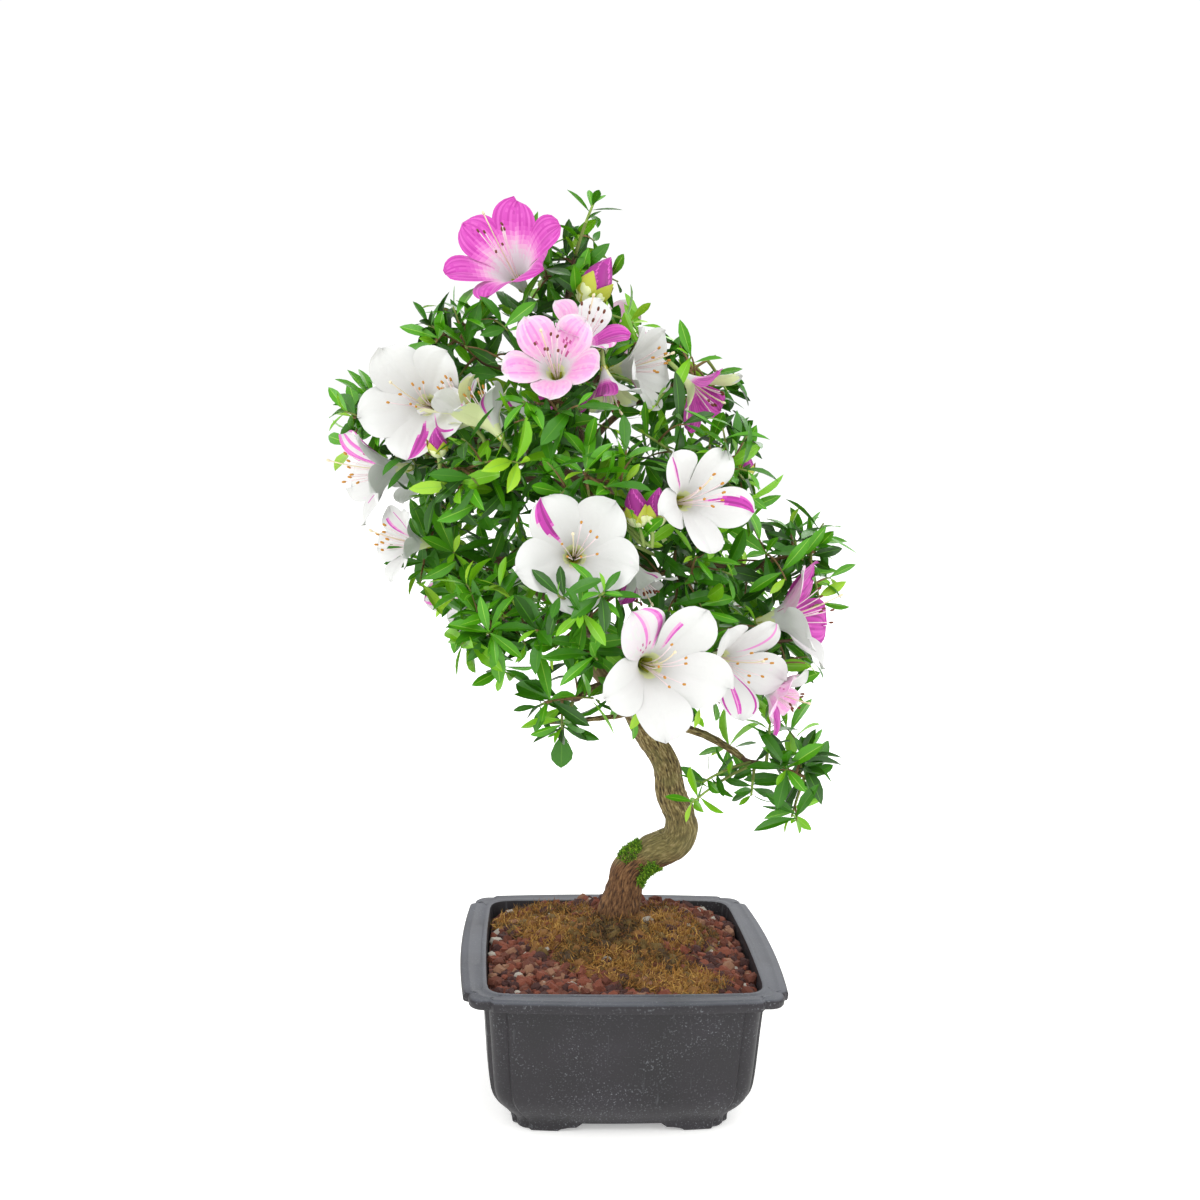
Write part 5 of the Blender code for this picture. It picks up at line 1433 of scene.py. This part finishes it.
def lobe_tints(kind, upper, rng):
    """Tint number of each face of a lobe: its share of magenta, from 0 to 1, rounded to the row of tints."""
    t = (np.arange(LOBE_ROWS - 1) + 0.5)[:, None] / (LOBE_ROWS - 1)
    s = np.linspace(-1, 1, LOBE_LANES)[None, :]
    s = (s[:, 1:] + s[:, :-1]) / 2
    free = smooth_step(0.30, 0.55, t)
    line = stripes(s, rng)
    if kind == "o":
        amount = smooth_step(0.40, 0.78, t + 0.10 * np.abs(s) + 0.10 * (line - 0.5)) * 0.70 + 0.08
    elif kind == "b":
        amount = (0.36 - 0.16 * np.abs(s) ** 2 + 0.16 * (line - 0.5)) * free - 0.22 * smooth_step(0.86, 1.0, t)
    elif kind == "s":
        amount = smooth_step(0.52, 0.66, line) * 0.72 * free * (1 - 0.3 * t) + 0.05
    elif kind == "m":
        amount = (0.86 + 0.2 * (line - 0.5)) * smooth_step(0.25, 0.5, t)
    elif kind == "f":
        amount = smooth_step(0.80, 0.86, line) * 0.8 * free * (t < rng.uniform(0.7, 1.0))
    elif kind == "g":
        amount = 0.9 * smooth_step(0.06, 0.0, np.abs(s - 0.35) - 0.24 * np.clip(2.4 * t - 0.9, 0, 1)) * free
    else:
        amount = 0.015 * line * free
    # Cream lobes take the green-throat finish: painted shade and light shining through the petal, on flowers
    # seen from behind.
    cream = (kind == "c") & (t < 0.80 + 0.2 * line)
    amount = np.broadcast_to(amount, (LOBE_ROWS - 1, LOBE_LANES - 1))
    veined = amount * (1 + 0.10 * np.cos(s * 22.0)) * MOST + rng.uniform(-0.35, 0.35, amount.shape)
    tints = np.clip(veined.round(), 0, MOST).astype(int)
    throat = (t < 0.24 + 0.05 * (1 - np.abs(s))) & (kind in "wfgsb")
    tints = np.where(throat | cream, GREEN_THROAT, tints)
    if upper and kind in "bs":
        spots = (rng.uniform(0, 1, tints.shape) < 0.12) & (t > 0.34) & (t < 0.62) & (np.abs(s) < 0.45)
        tints = np.where(spots, ROSE_SPOT, tints)
    return tints


print("magenta faces of a plain magenta lobe:", (lobe_tints("m", False, np.random.default_rng(1)) > 9).sum())

# %% All flowers
heap = Heap()
for number, ((_, _, radius, kinds, fullness), foot, axis) in enumerate(zip(BLOOMS, bloom_feet, bloom_axes)):
    rng = np.random.default_rng(900 + number)
    points = corolla(foot, axis, float(radius), len(kinds), fullness, rng)
    spotted = (len(kinds) // 2, len(kinds) // 2 + 1)
    tints = [lobe_tints(kind, k in spotted, rng) for k, kind in enumerate(kinds)]
    heap.add(points, quads(len(kinds), LOBE_ROWS, LOBE_LANES), np.array(tints).ravel())
petals = heap.piece("azalea_flowers", petal_finishes)
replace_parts(petals, *(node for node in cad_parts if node.startswith("foliage_")))
print("flowers:", len(BLOOMS))

# %% Stamens and style
# Filaments are fine pale threads. They leave the bottom of the funnel together, spread, and turn up at
# their ends. The anthers are dark in flowers with much pink or magenta and tan in the white ones.
STAMENS, STAMEN_STATIONS = 7, 8
FILAMENT_RADIUS, STYLE_RADIUS = 0.27, 0.36
STYLE_REACH = 1.42  # of the flower's depth, and 1.0 to 1.25 for a stamen
ANTHER_PLACES = np.array((-1.1, -0.6, 0.6, 1.1))[:, None]  # along the anther, from the filament's end
ANTHER_RADII, STIGMA_RADII = np.array((0.25, 0.6, 0.6, 0.2)), np.array((0.3, 0.7, 0.7, 0.4))
PINK, DARK, CREAM, TAN = range(4)
stamen_finishes = [
    finish("filament, pale pink", "#e6d3d6", 0.5), finish("anther, purple brown", "#6b3a26", 0.8),
    finish("style, cream", "#dccfae", 0.5), finish("anther, tan", "#b9812f", 0.8),
]
heap = Heap()
for number, (foot, axis, radius, bloom) in enumerate(zip(bloom_feet, bloom_axes, bloom_radii, BLOOMS)):
    rng = np.random.default_rng(1200 + number)
    depth = radius * BLOOM_DEPTH
    t = np.linspace(0, 1, STAMEN_STATIONS)[None, :, None]
    count = STAMENS + 1
    turn = np.arange(count) * math.tau / count + rng.uniform(-0.3, 0.3, count)
    spread = round_about(turn, *flower_sides(axis))[:, None, :]
    reach = (depth * rng.uniform(1.0, 1.25, count))[:, None, None]
    reach[-1] = depth * STYLE_REACH
    wide = (radius * rng.uniform(0.10, 0.34, count))[:, None, None]
    lift = np.array((0, 0, 1.0)) * radius * 0.20 * (t**2 - 0.5 * t)
    paths = foot + axis * reach * t + spread * (0.8 + wide * t**1.8) + lift
    radii = np.full((count, STAMEN_STATIONS), FILAMENT_RADIUS)
    radii[-1] = STYLE_RADIUS
    tone_rows = np.full((count, STAMEN_STATIONS - 1), PINK)
    tone_rows[-1] = CREAM
    add_tubes(heap, paths, radii, 4, tone_rows)
    anther = unit(paths[:, -1] - paths[:, -2] + rng.normal(0, 0.8, (count, 3)))
    ends = paths[:, -1:, :] + anther[:, None] * ANTHER_PLACES
    brown = DARK if set(bloom[3]) & set("bom") else TAN
    add_tubes(heap, ends[:-1], ANTHER_RADII, 6, np.full((STAMENS, 3), brown))
    add_tubes(heap, ends[-1:], STIGMA_RADII, 6, np.full((1, 3), CREAM))
heap.piece("stamens", stamen_finishes)

# %% Stalks and sepals
# A stalk is downy and pale green, and five small pointed sepals hold the foot of the funnel. Round a bud
# they are broad yellow-green scales.
SEPALS = 5
SEPAL_FORM = ((0.0, 0.6), (0.35, 1.0), (0.7, 0.7), (1.0, 0.05))
green_finishes = [finish("stalk, pale green", "#93a95a", 0.6), finish("sepal, yellow green", "#b5bb3c", 0.5)]
heap = Heap()
stalk_tones = np.zeros((len(stalk_paths), STALK_STATIONS - 1), int)
add_tubes(heap, np.array(stalk_paths), np.linspace(0.8, 1.15, STALK_STATIONS), 7, stalk_tones)
across, over = square_pair(axes, ASIDE)
is_bud = np.arange(len(feet)) >= len(BLOOMS)
spread = round_about(np.arange(SEPALS) * math.tau / SEPALS, across[:, None], over[:, None])
ways = unit(axes[:, None] + spread * np.where(is_bud, 1.6, 0.42)[:, None, None]).reshape(-1, 3)
bud_lengths = np.array([bud[2] for bud in BUDS])
root_radii = np.concatenate([np.full(len(BLOOMS), 0.5), 0.13 * bud_lengths])[:, None, None]
root_heights = np.where(is_bud, 0.6, -0.8)[:, None, None]
roots = (feet[:, None] + axes[:, None] * root_heights + spread * root_radii).reshape(-1, 3)
sepal_lengths = np.repeat(np.concatenate([bloom_radii * 0.34, bud_lengths * 0.50]), SEPALS)
sepal_widths = sepal_lengths * np.repeat(np.where(is_bud, 0.95, 0.62), SEPALS)
sepal_curl = np.repeat(np.where(is_bud, -0.7, -0.10), SEPALS)
points, faces = blades(roots, ways, -spread.reshape(-1, 3), sepal_lengths, sepal_widths, SEPAL_FORM,
                       (-1, 0, 1), sepal_curl, fold=0.35)
heap.add(points, faces, 1)
heap.piece("flower_stalks", green_finishes)

# %% Buds
# A bud is a pointed spindle of five furled petals, magenta with paler edges that wind round it.
BUD_ROWS, BUD_SIDES = 25, 40
BUD_TWIST = 2.2  # radians from foot to tip
EDGE_TINT, BUD_TINT, TIP_TINT = MOST - 4, MOST, MOST - 1
t = np.linspace(0, 1, BUD_ROWS)[:, None]
swell = 0.31 * (np.sin(math.pi * t**0.8) ** 0.75) * (1 - 0.35 * t) + 0.02 * (1 - t)
bud_paths = bud_feet[:, None] + bud_axes[:, None] * (t * bud_lengths[:, None, None])
turn = np.arange(BUD_SIDES) * math.tau / BUD_SIDES
furl = np.abs(np.sin(2.5 * (turn + BUD_TWIST * t)))  # 0 at the petals' edges
widths = bud_lengths[:, None, None] * swell * (1 + 0.14 * furl)
points, faces, caps = tubes(bud_paths, 0.0, BUD_SIDES, widths, aside=ASIDE)
bud_tints = np.where(furl < 0.22, EDGE_TINT, BUD_TINT) - (t > 0.8)
bud_tints = np.where(t < 0.30, GREEN_THROAT, bud_tints)[:-1]
heap = Heap()
heap.add(points, faces, np.tile(bud_tints.ravel(), len(BUDS)))
heap.close(points, caps, TIP_TINT)
heap.piece("flower_buds", petal_finishes)

# %% [markdown]
# ## Living moss on the trunk
#
# At the first bend the bark stays damp, and a cushion of bright green moss has settled there. It is
# thousands of tiny pointed blades that stand on the bark's own surface and lean any way.

# %% Green moss
MOSS_BLADES, MOSS_WIDTH = 4200, 0.5
MOSS_FORM = ((0.0, 0.7), (0.5, 1.0), (1.0, 0.1))
MOSS_TONES = (("deep", "#43700c", 0.35), ("green", "#6a9a18", 0.45), ("bright", "#93bd2c", 0.2))  # with shares
MOSS_PATCHES = (((5.5, 26, 117), (8, 12, 6.5)), ((18, 25, 103.5), (6.5, 12, 9.5)))  # middle and reach of each
rng = np.random.default_rng(64)
surface = trunk_surface.reshape(-1, 3)
normals = unit(trunk_surface - trunk_middle[:, None]).reshape(-1, 3)
wave = 0.18 * np.sin(surface[:, 0] * 0.9) * np.sin(surface[:, 2] * 0.7)
in_patch = [np.linalg.norm((surface - middle) / reach, axis=1) + wave < 1 for middle, reach in MOSS_PATCHES]
spots = np.flatnonzero(np.any(in_patch, axis=0))
chosen = rng.choice(spots, MOSS_BLADES)
roots = surface[chosen] + rng.normal(0, 0.35, (MOSS_BLADES, 3))
ways = unit(normals[chosen] + rng.normal(0, 0.75, (MOSS_BLADES, 3)) + (0, 0, 0.2))
ups = any_square_to(ways, rng)
lengths = rng.uniform(0.8, 2.1, MOSS_BLADES)
curl = rng.uniform(-0.3, 0.5, MOSS_BLADES)
points, faces = blades(roots, ways, ups, lengths, MOSS_WIDTH, MOSS_FORM, (-1, 1), curl, fold=0.0)
moss_finishes = [finish(f"living moss, {tone}", colour, 0.8) for tone, colour, _ in MOSS_TONES]
tones = rng.choice(len(MOSS_TONES), MOSS_BLADES, p=[share for _, _, share in MOSS_TONES])
heap = Heap()
heap.add(points, faces, np.repeat(tones, len(MOSS_FORM) - 1))
heap.piece("living_moss", moss_finishes)
print("points of bark under the moss:", len(spots))
